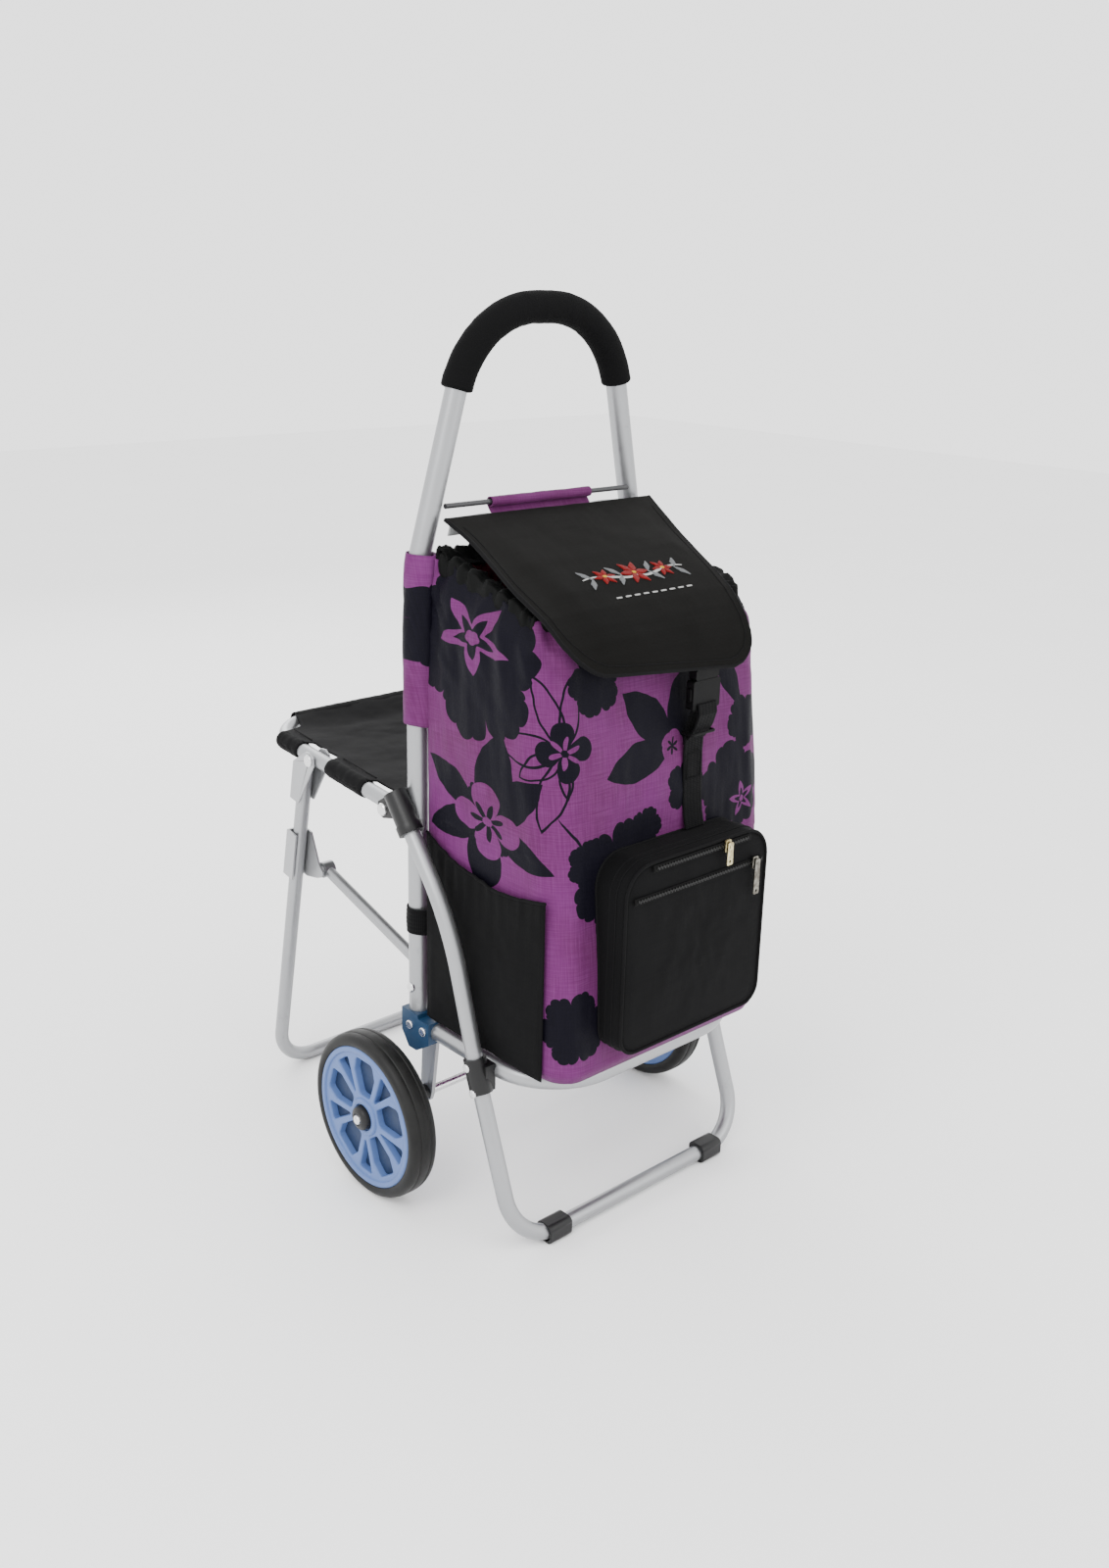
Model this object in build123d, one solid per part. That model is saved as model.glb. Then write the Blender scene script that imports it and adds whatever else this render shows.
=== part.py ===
from build123d import *
import math
import os

os.makedirs("parts", exist_ok=True)

# Shopping trolley with a fold-up seat. Millimetres, +Z up, front of the bag towards -Y.
# The model is drawn with the two uprights on Y = 0 and is then moved along Y, so that
# the origin lies on the floor under the middle of the whole trolley.

# ---- driving dimensions -------------------------------------------------------------
FRONT_EXTENT = -247.0          # front of the zip pullers
REAR_EXTENT = 276.0            # back of the rear seat bar and of the rear leg bar
SHIFT_Y = -(FRONT_EXTENT + REAR_EXTENT) / 2

# frame tubes
TUBE_WALL = 1.4
UPRIGHT_X = 137.0
UPRIGHT_R = 10.0
UPRIGHT_FOOT_Z = 160.0
UPRIGHT_BEND_Z = 625.0
HANDLE_CORNER = (81.0, -11.0, 850.5)
HANDLE_BEND_R = 92.0
UPRIGHT_BEND_R = 150.0
GRIP_END_Z = 779.0
GRIP_R = 14.5
ROD_Z = 681.0
ROD_Y = -12.0
ROD_R = 2.4
HEM_HALF = 62.0

# front brace, stand and platform
SIDE_R = 8.0
BRACE_X = 156.0
BRACE_TOP = (8.0, 411.0)
BRACE_BEND = (-72.5, 306.0)
BRACE_FOOT = (-114.5, 168.0)
BRACE_BEND_R = 260.0
STAND_TOP = (-114.5, 166.0)
STAND_FLOOR_Y = -173.0
STAND_BAR_Z = 9.5
STAND_CORNER_R = 48.0
CLAMP_X = 107.0
CLAMP_HALF = 14.0
CLAMP_R = 10.5
CONNECTOR_R = 11.0
CONNECTOR_REACH = 17.0
TOP_SLEEVE_R = 11.5
TOP_SLEEVE_LENGTH = 42.0
TOP_SLEEVE_OVER = 4.0
TOP_COLLAR_R = 12.6
TOP_COLLAR_LENGTH = 9.0
BRACKET_HALF = 12.0             # half width of the moulded foot bracket
PLATFORM_Z = 172.0
PLATFORM_R = 9.0
PLATFORM_FRONT_Y = -189.0
PLATFORM_CORNER_R = 72.0

# wheels and axle
AXLE_Y = 5.6
WHEEL_R = 85.0
AXLE_R = 5.0
AXLE_END_X = 205.0
RUNNING = 0.06                 # radial play of a turning fit
CONTACT = 0.15                 # play between pieces that only touch
DISC_R = 73.0
WHEEL_X0 = 174.0
WHEEL_X1 = 204.0
HUB_CAP_R = 12.0
HUB_CAP_X1 = 212.0
SPOKE_PAIRS = 5
RIM_INNER_R = 64.0
HUB_OUTER_R = 24.0
HUB_R = 19.0
POCKET_DEPTH = 9.0
WIDE_POCKET_HALF = 25.0        # degrees
NARROW_POCKET_HALF = 6.5       # degrees
SPACER_R = 8.0

# seat, rear leg and link (Y, Z of the pivots)
SEAT_PIVOT = (36.0, 389.0)
SEAT_REAR = (268.0, 412.0)
SEAT_R = 8.0
SEAT_CORNER_R = 58.0
SEAT_NOSE = 12.0               # tube ahead of the seat pivot
FABRIC_T = 2.6
FABRIC_FRONT = 14.0            # start of the cloth behind the seat pivot
FRONT_NOTCH = (32.0, 44.0)
BRACKET_NOTCH = (44.0, 46.0)
REAR_NOTCH = 84.0
LEG_PIVOT = (170.0, 402.3)
LEG_OFFSET = 18.0
LEG_R = 7.5
LEG_LEAN = 11.44               # degrees from vertical
LEG_CORNER_R = 46.0
LINK_FRAME_PIVOT = (0.0, 212.0)
LINK_LEG_PIVOT = (188.0, 270.0)
LINK_X = 117.0
LINK_R = 6.0
EYE_HALF = 6.2
LEG_START = 13.0               # top of the leg tube below its pivot
UPPER_BRACKET_END = 56.0
LOWER_BRACKET_UP = 38.0
LOWER_BRACKET_DOWN = 16.0
CHEEK_IN = 8.5
CHEEK_OUT = 10.5
LUG_R = 8.5
BOSS_R = 6.0
PIN_R = 3.0

# bag
BAG_HALF = 140.0
BAG_REAR_Y = -15.0
BAG_WALL = 3.0
BAG_BOTTOM_Z = 183.0
BAG_CORNER_R = 32.0
BAG_FRONT = ((183.0, -212.0), (295.0, -207.0), (420.0, -195.0), (650.0, -165.0))
BAG_TOP_REAR_Z = 642.0
BAG_TOP_FRONT_Z = 598.0
FLAP_HALF = 117.0
FLAP_HINGE = (-20.0, 672.0)
FLAP_T = 4.0
FLAP_CORNER_R = 42.0
POCKET_FRONT_Y = -240.0
POCKET_TOP_Z = 398.0
POCKET_BOTTOM_Z = 215.0
POCKET_LEFT = -95.0
POCKET_RIGHT = 92.0
ZIP_TOP_Z = 392.0
ZIP_FRONT_Z = 366.0
STRAP_HALF = 12.5
STRAP_X = 28.0                 # the strap hangs to one side of the middle
BUCKLE_TOP_Z = 551.0
BUCKLE_MOUTH_Z = 541.0
BUCKLE_BOTTOM_Z = 514.0
BUCKLE_Y = -204.0
BUCKLE_HALF_T = 4.5
MALE_HALF = 15.0
FEMALE_HALF = 17.5
COLLAR_SIZE = (258.0, 134.0)
COLLAR_WALL = 6.0
SIDE_POCKET_T = 5.0
SLEEVE_Z = (482.0, 606.0)
SLEEVE_T = 3.4
ELASTIC_Z = (271.0, 297.0)
ELASTIC_T = 2.0

parts = {}


# ---- helpers ------------------------------------------------------------------------
def bar(start, end, radius):
    """Solid round bar from one point to another."""
    run = Vector(*end) - Vector(*start)
    return extrude(Plane(origin=start, z_dir=run) * Circle(radius), amount=run.length)


def pipe(points, radii, radius, wall=TUBE_WALL):
    """Bent round tube along straight runs joined by arcs."""
    path = FilletPolyline(*points, radius=radii)
    start = Plane(origin=path @ 0, z_dir=path % 0)
    section = Circle(radius) - Circle(radius - wall)
    return sweep(start * section, path=path)


def plate(outline, x_from, x_to):
    """Flat plate with its outline in (Y, Z), between two X planes."""
    side = Plane(origin=(x_from, 0, 0), x_dir=(0, 1, 0), z_dir=(1, 0, 0))
    return extrude(side * Polygon(*outline, align=None), amount=x_to - x_from, dir=(1, 0, 0))


def box_between(low, high):
    size = [b - a for a, b in zip(low, high)]
    middle = [(a + b) / 2 for a, b in zip(low, high)]
    return Pos(*middle) * Box(*size)


def other_side(shape):
    return mirror(shape, about=Plane.YZ)


def both_sides(name, shape):
    """The shape is drawn on the +X side; its mirror image is the left one."""
    parts[name + "_right"] = shape
    parts[name + "_left"] = other_side(shape)


def pair(name, shape):
    """Both mirror images as separate solids of one node."""
    parts[name] = Compound(children=[shape, other_side(shape)])


def group(name, shapes):
    parts[name] = Compound(children=list(shapes))


def rivet_head(x, y, z, radius=5.0, height=1.8, outward=1):
    """Domed head standing on an X plane."""
    head = bar((x, y, z), (x + outward * height, y, z), radius)
    rim = head.edges().sort_by(Axis.X)[-1 if outward > 0 else 0]
    return fillet(rim, height * 0.8)


def cross_pin(y, z, x_inner, x_outer, radius=PIN_R):
    return bar((x_inner, y, z), (x_outer, y, z), radius)


# ---- upright frame with the handle --------------------------------------------------
def upright_frame():
    hx, hy, hz = HANDLE_CORNER
    points = [
        (UPRIGHT_X, 0, UPRIGHT_FOOT_Z),
        (UPRIGHT_X, 0, UPRIGHT_BEND_Z),
        (hx, hy, hz),
        (-hx, hy, hz),
        (-UPRIGHT_X, 0, UPRIGHT_BEND_Z),
        (-UPRIGHT_X, 0, UPRIGHT_FOOT_Z),
    ]
    radii = [UPRIGHT_BEND_R, HANDLE_BEND_R, HANDLE_BEND_R, UPRIGHT_BEND_R]
    body = pipe(points, radii, UPRIGHT_R)
    for side in (1, -1):
        body -= cross_pin(*LINK_FRAME_PIVOT, side * 120, side * 160)
    return body


def foam_grip():
    hx, hy, hz = HANDLE_CORNER
    share = (hz - GRIP_END_Z) / (hz - UPRIGHT_BEND_Z)
    end_x = hx + share * (UPRIGHT_X - hx)
    end_y = hy * (1 - share)
    points = [
        (end_x, end_y, GRIP_END_Z),
        (hx, hy, hz),
        (-hx, hy, hz),
        (-end_x, end_y, GRIP_END_Z),
    ]
    return pipe(points, [HANDLE_BEND_R] * 2, GRIP_R, GRIP_R - UPRIGHT_R)


def tube_x_at(z):
    """Centre of the leaning part of the upright at a height."""
    share = (z - UPRIGHT_BEND_Z) / (HANDLE_CORNER[2] - UPRIGHT_BEND_Z)
    return UPRIGHT_X + share * (HANDLE_CORNER[0] - UPRIGHT_X)


parts["handle_frame"] = upright_frame()
parts["foam_grip"] = foam_grip()
rod_end = tube_x_at(ROD_Z) - UPRIGHT_R * 0.9
parts["hem_rod"] = bar((-rod_end, ROD_Y, ROD_Z), (rod_end, ROD_Y, ROD_Z), ROD_R)

# ---- front brace, stand and platform ------------------------------------------------
brace_dir = Vector(0, BRACE_BEND[0] - BRACE_TOP[0], BRACE_BEND[1] - BRACE_TOP[1]).normalized()
brace_top = Vector(BRACE_X, *BRACE_TOP)
brace = pipe(
    [(BRACE_X, *BRACE_TOP), (BRACE_X, *BRACE_BEND), (BRACE_X, *BRACE_FOOT)],
    [BRACE_BEND_R],
    SIDE_R,
)
both_sides("brace", brace)

stand_points = [
    (BRACE_X, *STAND_TOP),
    (BRACE_X, STAND_FLOOR_Y, STAND_BAR_Z),
    (-BRACE_X, STAND_FLOOR_Y, STAND_BAR_Z),
    (-BRACE_X, *STAND_TOP),
]
parts["stand_frame"] = pipe(stand_points, [STAND_CORNER_R] * 2, SIDE_R)

platform_points = [
    (UPRIGHT_X, -UPRIGHT_R, PLATFORM_Z),
    (UPRIGHT_X, PLATFORM_FRONT_Y, PLATFORM_Z),
    (-UPRIGHT_X, PLATFORM_FRONT_Y, PLATFORM_Z),
    (-UPRIGHT_X, -UPRIGHT_R, PLATFORM_Z),
]
parts["platform_frame"] = pipe(platform_points, [PLATFORM_CORNER_R] * 2, PLATFORM_R)


def top_connector():
    """Capped sleeve on the brace, saddled on the upright, with a lug for the seat bolt."""
    over = TOP_SLEEVE_OVER
    length = TOP_SLEEVE_LENGTH
    sleeve_end = brace_top + brace_dir * (length - over)
    body = bar(brace_top - brace_dir * over, sleeve_end, TOP_SLEEVE_R)
    body += bar(sleeve_end - brace_dir * TOP_COLLAR_LENGTH, sleeve_end, TOP_COLLAR_R)
    body -= bar(brace_top, brace_top + brace_dir * length, SIDE_R)
    py, pz = SEAT_PIVOT
    lug = plate(
        [(0, 414), (18, 412), (py + 8, pz + 6), (py + 8, pz - 6), (py, pz - 9), (4, 388)],
        147.0,
        152.0,
    )
    lug -= bar(brace_top - brace_dir * over, brace_top + brace_dir * length, CONNECTOR_R)
    body += lug
    body -= bar((UPRIGHT_X, 0, 350), (UPRIGHT_X, 0, 450), UPRIGHT_R)
    body -= cross_pin(py, pz, 100, 200)
    return body


both_sides("top_connector", top_connector())


def stand_connector():
    """Sleeve that joins brace and stand, with a lug under the platform tube."""
    foot = Vector(BRACE_X, *BRACE_FOOT)
    up = Vector(0, BRACE_BEND[0] - BRACE_FOOT[0], BRACE_BEND[1] - BRACE_FOOT[1]).normalized()
    down_run = Vector(0, STAND_FLOOR_Y - STAND_TOP[0], STAND_BAR_Z - STAND_TOP[1]).normalized()
    upper = foot + up * CONNECTOR_REACH
    lower = foot + down_run * CONNECTOR_REACH
    body = bar(foot, upper, CONNECTOR_R) + bar(foot, lower, CONNECTOR_R)
    body += Pos(foot) * Sphere(CONNECTOR_R)
    body += box_between((144, -126, 154), (156, -103, 181))
    body -= bar(foot, foot + up * 40, SIDE_R + CONTACT)
    body -= bar(Vector(BRACE_X, *STAND_TOP), lower + down_run * 20, SIDE_R + CONTACT)
    body -= bar((UPRIGHT_X, -180, PLATFORM_Z), (UPRIGHT_X, 0, PLATFORM_Z), PLATFORM_R)
    return body


both_sides("stand_connector", stand_connector())


def foot_clamp():
    """Oval plastic foot round the floor bar, with a flat sole."""
    low = (CLAMP_X - CLAMP_HALF, STAND_FLOOR_Y - CLAMP_R, 0)
    high = (CLAMP_X + CLAMP_HALF, STAND_FLOOR_Y + CLAMP_R, STAND_BAR_Z + CLAMP_R)
    body = box_between(low, high)
    body = fillet(body.edges().filter_by(Axis.X), 5.5)
    ends = (CLAMP_X - CLAMP_HALF - 1, CLAMP_X + CLAMP_HALF + 1)
    return body - cross_pin(STAND_FLOOR_Y, STAND_BAR_Z, *ends, SIDE_R + CONTACT)


both_sides("foot_clamp", foot_clamp())


def foot_bracket():
    """Moulded corner that holds the upright's foot and the platform tube."""
    outline = [(13, 187), (13, 162), (2, 147), (-10, 147), (-30, 160), (-30, 182.6)]
    outline += [(-13, 182.6), (-13, 187)]
    body = plate(outline, UPRIGHT_X - BRACKET_HALF, UPRIGHT_X + BRACKET_HALF)
    body -= bar((UPRIGHT_X, 0, UPRIGHT_FOOT_Z), (UPRIGHT_X, 0, 200), UPRIGHT_R)
    body -= bar((UPRIGHT_X, -UPRIGHT_R, PLATFORM_Z), (UPRIGHT_X, -60, PLATFORM_Z), PLATFORM_R)
    return body


both_sides("foot_bracket", foot_bracket())

# ---- axle, straps, spacers and wheels -----------------------------------------------
STRAP_X1 = UPRIGHT_X - BRACKET_HALF
STRAP_X0 = STRAP_X1 - 4.5


def axle_strap():
    """Flat steel strap from the foot bracket down to the axle."""
    outline = [(-12, 182), (11, 182), (11, 150), (AXLE_Y + 9, WHEEL_R), (AXLE_Y + 6, 77)]
    outline += [(AXLE_Y - 6, 77), (AXLE_Y - 9, WHEEL_R), (-12, 150)]
    return plate(outline, STRAP_X0, STRAP_X1) - cross_pin(AXLE_Y, WHEEL_R, 90, 150, AXLE_R)


both_sides("axle_strap", axle_strap())
parts["axle"] = bar((-AXLE_END_X, AXLE_Y, WHEEL_R), (AXLE_END_X, AXLE_Y, WHEEL_R), AXLE_R)
spacer_hole = cross_pin(AXLE_Y, WHEEL_R, 100, 200, AXLE_R)
pair("axle_spacers", cross_pin(AXLE_Y, WHEEL_R, STRAP_X1, WHEEL_X0 - 0.6, SPACER_R) - spacer_hole)


def wheel_disc():
    """Moulded disc: hub, rim and twin spokes standing above pockets on both faces."""
    web_x0 = WHEEL_X0 + POCKET_DEPTH
    web_x1 = WHEEL_X1 - POCKET_DEPTH
    ring = Circle(RIM_INNER_R) - Circle(HUB_OUTER_R)
    step = 180 / SPOKE_PAIRS
    reach = 2 * RIM_INNER_R
    pockets = []
    for i in range(SPOKE_PAIRS):
        middle = 90 + i * 2 * step
        for centre, half in ((middle, WIDE_POCKET_HALF), (middle + step, NARROW_POCKET_HALF)):
            a0 = math.radians(centre - half)
            a1 = math.radians(centre + half)
            wedge = Polygon(
                (0, 0),
                (reach * math.cos(a0), reach * math.sin(a0)),
                (reach * math.cos(a1), reach * math.sin(a1)),
                align=None,
            )
            pockets.append(ring & wedge)
    face = Plane(origin=(0, AXLE_Y, WHEEL_R), x_dir=(0, 1, 0), z_dir=(1, 0, 0))
    body = extrude(face.offset(WHEEL_X0 + 2) * Circle(DISC_R), amount=WHEEL_X1 - WHEEL_X0 - 4)
    body += extrude(face.offset(WHEEL_X0) * Circle(HUB_R), amount=WHEEL_X1 - WHEEL_X0)
    for pocket in pockets:
        body -= extrude(face.offset(web_x1) * pocket, amount=20)
        body -= extrude(face.offset(web_x0) * pocket, amount=-20)
    return body - cross_pin(AXLE_Y, WHEEL_R, 150, 220, AXLE_R + RUNNING)


def tyre():
    body = cross_pin(AXLE_Y, WHEEL_R, WHEEL_X0, WHEEL_X1, WHEEL_R)
    body = fillet(body.edges(), 7.0)
    return body - cross_pin(AXLE_Y, WHEEL_R, WHEEL_X0 - 1, WHEEL_X1 + 1, DISC_R)


def hub_cap():
    cap = cross_pin(AXLE_Y, WHEEL_R, WHEEL_X1, HUB_CAP_X1, HUB_CAP_R)
    cap = fillet(cap.edges().sort_by(Axis.X)[-1], 3.0)
    return cap - cross_pin(AXLE_Y, WHEEL_R, WHEEL_X1 - 1, AXLE_END_X + 1.5, AXLE_R + 1)


both_sides("wheel_disc", wheel_disc())
both_sides("tyre", tyre())
both_sides("hub_cap", hub_cap())

# ---- seat ---------------------------------------------------------------------------
seat_run = Vector(0, SEAT_REAR[0] - SEAT_PIVOT[0], SEAT_REAR[1] - SEAT_PIVOT[1])
seat_dir = seat_run.normalized()
nose = Vector(UPRIGHT_X, *SEAT_PIVOT) - seat_dir * SEAT_NOSE
seat_frame = pipe(
    [
        tuple(nose),
        (UPRIGHT_X, *SEAT_REAR),
        (-UPRIGHT_X, *SEAT_REAR),
        (-nose.X, nose.Y, nose.Z),
    ],
    [SEAT_CORNER_R] * 2,
    SEAT_R,
)
for side in (1, -1):
    seat_frame -= cross_pin(*SEAT_PIVOT, side * 120, side * 160, PIN_R + RUNNING)
    seat_frame -= cross_pin(*LEG_PIVOT, side * 120, side * 160)
parts["seat_frame"] = seat_frame

seat_plane = Plane(
    origin=(0, *SEAT_PIVOT), x_dir=(1, 0, 0), z_dir=(0, -seat_dir.Z, seat_dir.Y)
)
leg_pivot_run = (Vector(0, *LEG_PIVOT) - Vector(0, *SEAT_PIVOT)).length


def seat_fabric():
    """Flat sling laid on the tubes, open at the brackets and at the rear corners."""
    half = UPRIGHT_X + SEAT_R
    rear = seat_run.length + SEAT_R
    sheet = Pos(0, (FABRIC_FRONT + rear) / 2) * Rectangle(2 * half, rear - FABRIC_FRONT)
    for side in (1, -1):
        sheet -= Pos(side * half, 20) * Rectangle(*FRONT_NOTCH)
        sheet -= Pos(side * half, leg_pivot_run) * Rectangle(*BRACKET_NOTCH)
        sheet -= Pos(side * half, rear) * Rectangle(REAR_NOTCH, REAR_NOTCH)
    return extrude(seat_plane.offset(SEAT_R) * sheet, amount=FABRIC_T)


parts["seat_fabric"] = seat_fabric()

# ---- rear leg, hung under the seat tubes --------------------------------------------
lean = math.radians(LEG_LEAN)
leg_down = Vector(0, math.sin(lean), -math.cos(lean))
leg_back = Vector(0, math.cos(lean), math.sin(lean))
pivot_point = Vector(0, *LEG_PIVOT)


def on_leg(back, down):
    """(Y, Z) of a point given across and along the leg from its pivot."""
    point = pivot_point + leg_back * back + leg_down * down
    return (point.Y, point.Z)


floor_run = (pivot_point.Z + leg_back.Z * LEG_OFFSET - LEG_R) / -leg_down.Z
leg_top = on_leg(LEG_OFFSET, LEG_START)
leg_foot = on_leg(LEG_OFFSET, floor_run)
parts["leg_frame"] = pipe(
    [
        (UPRIGHT_X, *leg_top),
        (UPRIGHT_X, *leg_foot),
        (-UPRIGHT_X, *leg_foot),
        (-UPRIGHT_X, *leg_top),
    ],
    [LEG_CORNER_R] * 2,
    LEG_R,
)
WEB = LEG_OFFSET + LEG_R


def channel(inner_outline, outer_outline, top, bottom):
    """Pressed channel: a cheek on each side of the tube and a web behind it."""
    inner = [on_leg(*p) for p in inner_outline]
    outer = [on_leg(*p) for p in outer_outline]
    web = [on_leg(*p) for p in ((WEB, top), (WEB + 2, top), (WEB + 2, bottom), (WEB, bottom))]
    body = plate(inner, UPRIGHT_X - CHEEK_OUT, UPRIGHT_X - CHEEK_IN)
    body += plate(outer, UPRIGHT_X + CHEEK_IN, UPRIGHT_X + CHEEK_OUT)
    return body + plate(web, UPRIGHT_X - CHEEK_OUT, UPRIGHT_X + CHEEK_OUT)


upper_cheek = [(-9, 2), (-7, -6), (0, -9), (7, -7), (WEB + 2, LEG_START)]
upper_cheek += [(WEB + 2, UPPER_BRACKET_END), (12, UPPER_BRACKET_END)]
upper_bracket = channel(upper_cheek, upper_cheek, LEG_START, UPPER_BRACKET_END)
upper_bracket -= cross_pin(*LEG_PIVOT, 110, 160, PIN_R + RUNNING)
both_sides("leg_bracket_upper", upper_bracket)

link_point = Vector(0, *LINK_LEG_PIVOT) - pivot_point
link_back = link_point.dot(leg_back)
link_down = link_point.dot(leg_down)
lower_top = link_down - LOWER_BRACKET_UP
lower_end = link_down + LOWER_BRACKET_DOWN
lower_inner = [
    (WEB + 2, lower_top),
    (WEB + 2, lower_end),
    (LEG_OFFSET - LEG_R, lower_end),
    (link_back, link_down + LUG_R),
    (link_back - LUG_R, link_down + 3),
    (link_back - LUG_R, link_down - 3),
    (link_back, link_down - LUG_R),
    (LEG_OFFSET - LEG_R, lower_top),
]
lower_outer = [
    (WEB + 2, lower_top),
    (WEB + 2, lower_end),
    (LEG_OFFSET - LEG_R, lower_end),
    (LEG_OFFSET - LEG_R, lower_top),
]
lower_bracket = channel(lower_inner, lower_outer, lower_top, lower_end)
BOSS_X = LINK_X + EYE_HALF + 0.5
lower_bracket += cross_pin(*LINK_LEG_PIVOT, BOSS_X, UPRIGHT_X - CHEEK_OUT, BOSS_R)
both_sides("leg_bracket_lower", lower_bracket)


def rear_rivets():
    """Rivet heads on the webs of the leg brackets."""
    heads = []
    for down in (22.0, 34.0, link_down - 28, link_down + 8):
        start = Vector(UPRIGHT_X, *on_leg(WEB + 2, down))
        head = bar(start, start + leg_back * 1.8, 4.2)
        heads.append(head)
    return heads


leg_heads = rear_rivets()
group("leg_rivets", leg_heads + [other_side(h) for h in leg_heads])

# ---- links --------------------------------------------------------------------------
def link():
    """Round link with an eye at each end; the rear eye is held by a head only."""
    fy, fz = LINK_FRAME_PIVOT
    ry, rz = LINK_LEG_PIVOT
    body = bar((LINK_X, fy, fz), (LINK_X, ry, rz), LINK_R)
    for y, z in (LINK_FRAME_PIVOT, LINK_LEG_PIVOT):
        body += cross_pin(y, z, LINK_X - EYE_HALF, LINK_X + EYE_HALF, LUG_R)
    return body - cross_pin(fy, fz, 90, 160, PIN_R + RUNNING)


both_sides("link", link())
both_sides("link_rivet", rivet_head(LINK_X - EYE_HALF, *LINK_LEG_PIVOT, 5.5, 2.0, -1))

# ---- pivot bolts --------------------------------------------------------------------
def seat_bolt():
    py, pz = SEAT_PIVOT
    body = cross_pin(py, pz, 126.0, 152.0)
    body += rivet_head(152.0, py, pz, 6.5, 3.5)
    return body + cross_pin(py, pz, 124.2, 127.6, 5.5)


pair("seat_bolts", seat_bolt())


def leg_pivot_rivet():
    py, pz = LEG_PIVOT
    gap = 0.2
    outer = UPRIGHT_X + CHEEK_OUT + gap
    inner = UPRIGHT_X - CHEEK_OUT - gap
    body = cross_pin(py, pz, inner, outer)
    body += rivet_head(outer, py, pz, 6.5, 2.2)
    return body + rivet_head(inner, py, pz, 5.5, 1.8, -1)


pair("leg_pivot_rivets", leg_pivot_rivet())


def link_bolt():
    fy, fz = LINK_FRAME_PIVOT
    outer = UPRIGHT_X + UPRIGHT_R
    nut = LINK_X - EYE_HALF - 0.3
    body = cross_pin(fy, fz, nut, outer)
    body += rivet_head(outer, fy, fz, 5.0, 2.2)
    body += cross_pin(fy, fz, nut - 3, nut, 5.5)
    return body + cross_pin(fy, fz, LINK_X + EYE_HALF + 0.3, UPRIGHT_X - UPRIGHT_R, 5.5)


pair("link_bolts", link_bolt())

connector_x = BRACE_X + CONNECTOR_R
heads = [
    rivet_head(UPRIGHT_X + BRACKET_HALF, 0, PLATFORM_Z, 4.6),
    rivet_head(UPRIGHT_X + BRACKET_HALF, -21, PLATFORM_Z, 4.6),
    rivet_head(connector_x - 0.6, -110.5, 177, 4.2),
    rivet_head(connector_x - 0.6, -120.0, 154, 4.2),
]
group("frame_rivets", heads + [other_side(h) for h in heads])

# ---- bag ----------------------------------------------------------------------------
def bag_section(z, front_y, inset):
    depth = BAG_REAR_Y - front_y - 2 * inset
    outline = RectangleRounded(2 * (BAG_HALF - inset), depth, BAG_CORNER_R - inset)
    return Pos(0, (BAG_REAR_Y + front_y) / 2, z) * outline


def bag_body(inset, floor_z):
    sections = []
    for z, front_y in BAG_FRONT:
        sections.append(bag_section(max(z, floor_z), front_y, inset))
    return loft(sections, ruled=True)


def above_slope(rear_z, front_z, x_half=200):
    """Everything above a plane that falls from the rear towards the front."""
    rear = (40, rear_z + (rear_z - front_z) * 0.32)
    front = (-260, front_z - (rear_z - front_z) * 0.55)
    return plate([rear, front, (-260, 900), (40, 900)], -x_half, x_half)


bag_shell = bag_body(0, BAG_BOTTOM_Z) - bag_body(BAG_WALL, BAG_BOTTOM_Z + BAG_WALL)
parts["bag_shell"] = bag_shell - above_slope(BAG_TOP_REAR_Z, BAG_TOP_FRONT_Z)

board_y = (BAG_REAR_Y + BAG_FRONT[0][1]) / 2
board_z = BAG_BOTTOM_Z + BAG_WALL
parts["base_board"] = extrude(
    Pos(0, board_y, board_z) * RectangleRounded(262, 176, 24), amount=3
)


def drawstring_collar():
    """Gathered ring inside the mouth of the bag, under the flap."""
    middle = Pos(0, -97, 560)
    width, depth = COLLAR_SIZE
    inner = RectangleRounded(width - 2 * COLLAR_WALL, depth - 2 * COLLAR_WALL, 26)
    ring = middle * (RectangleRounded(width, depth, 30) - inner)
    body = extrude(ring, amount=100)
    return body - above_slope(BAG_TOP_REAR_Z + 10, BAG_TOP_FRONT_Z + 6)


parts["drawstring_collar"] = drawstring_collar()

pocket_side = [(-20, 188), (-20, 380), (-60, 364), (-120, 354), (-182, 362), (-186, 188)]
both_sides("side_pocket", plate(pocket_side, BAG_HALF, BAG_HALF + SIDE_POCKET_T))


def collar_on_tube(z_low, z_high, thickness):
    outer = bar((UPRIGHT_X, 0, z_low), (UPRIGHT_X, 0, z_high), UPRIGHT_R + thickness)
    inner = bar((UPRIGHT_X, 0, z_low - 1), (UPRIGHT_X, 0, z_high + 1), UPRIGHT_R + CONTACT)
    return outer - inner


pair("bag_sleeves", collar_on_tube(*SLEEVE_Z, SLEEVE_T))
pair("elastic_straps", collar_on_tube(*ELASTIC_Z, ELASTIC_T))
rod_sleeve = cross_pin(ROD_Y, ROD_Z, -HEM_HALF, HEM_HALF, ROD_R + 2.4)
rod_sleeve -= cross_pin(ROD_Y, ROD_Z, -HEM_HALF - 1, HEM_HALF + 1, ROD_R)
rod_panel = box_between((-HEM_HALF, ROD_Y - 1.2, 640), (HEM_HALF, ROD_Y + 1.2, ROD_Z - 3.4))
parts["rod_hem"] = rod_sleeve + rod_panel


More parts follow.
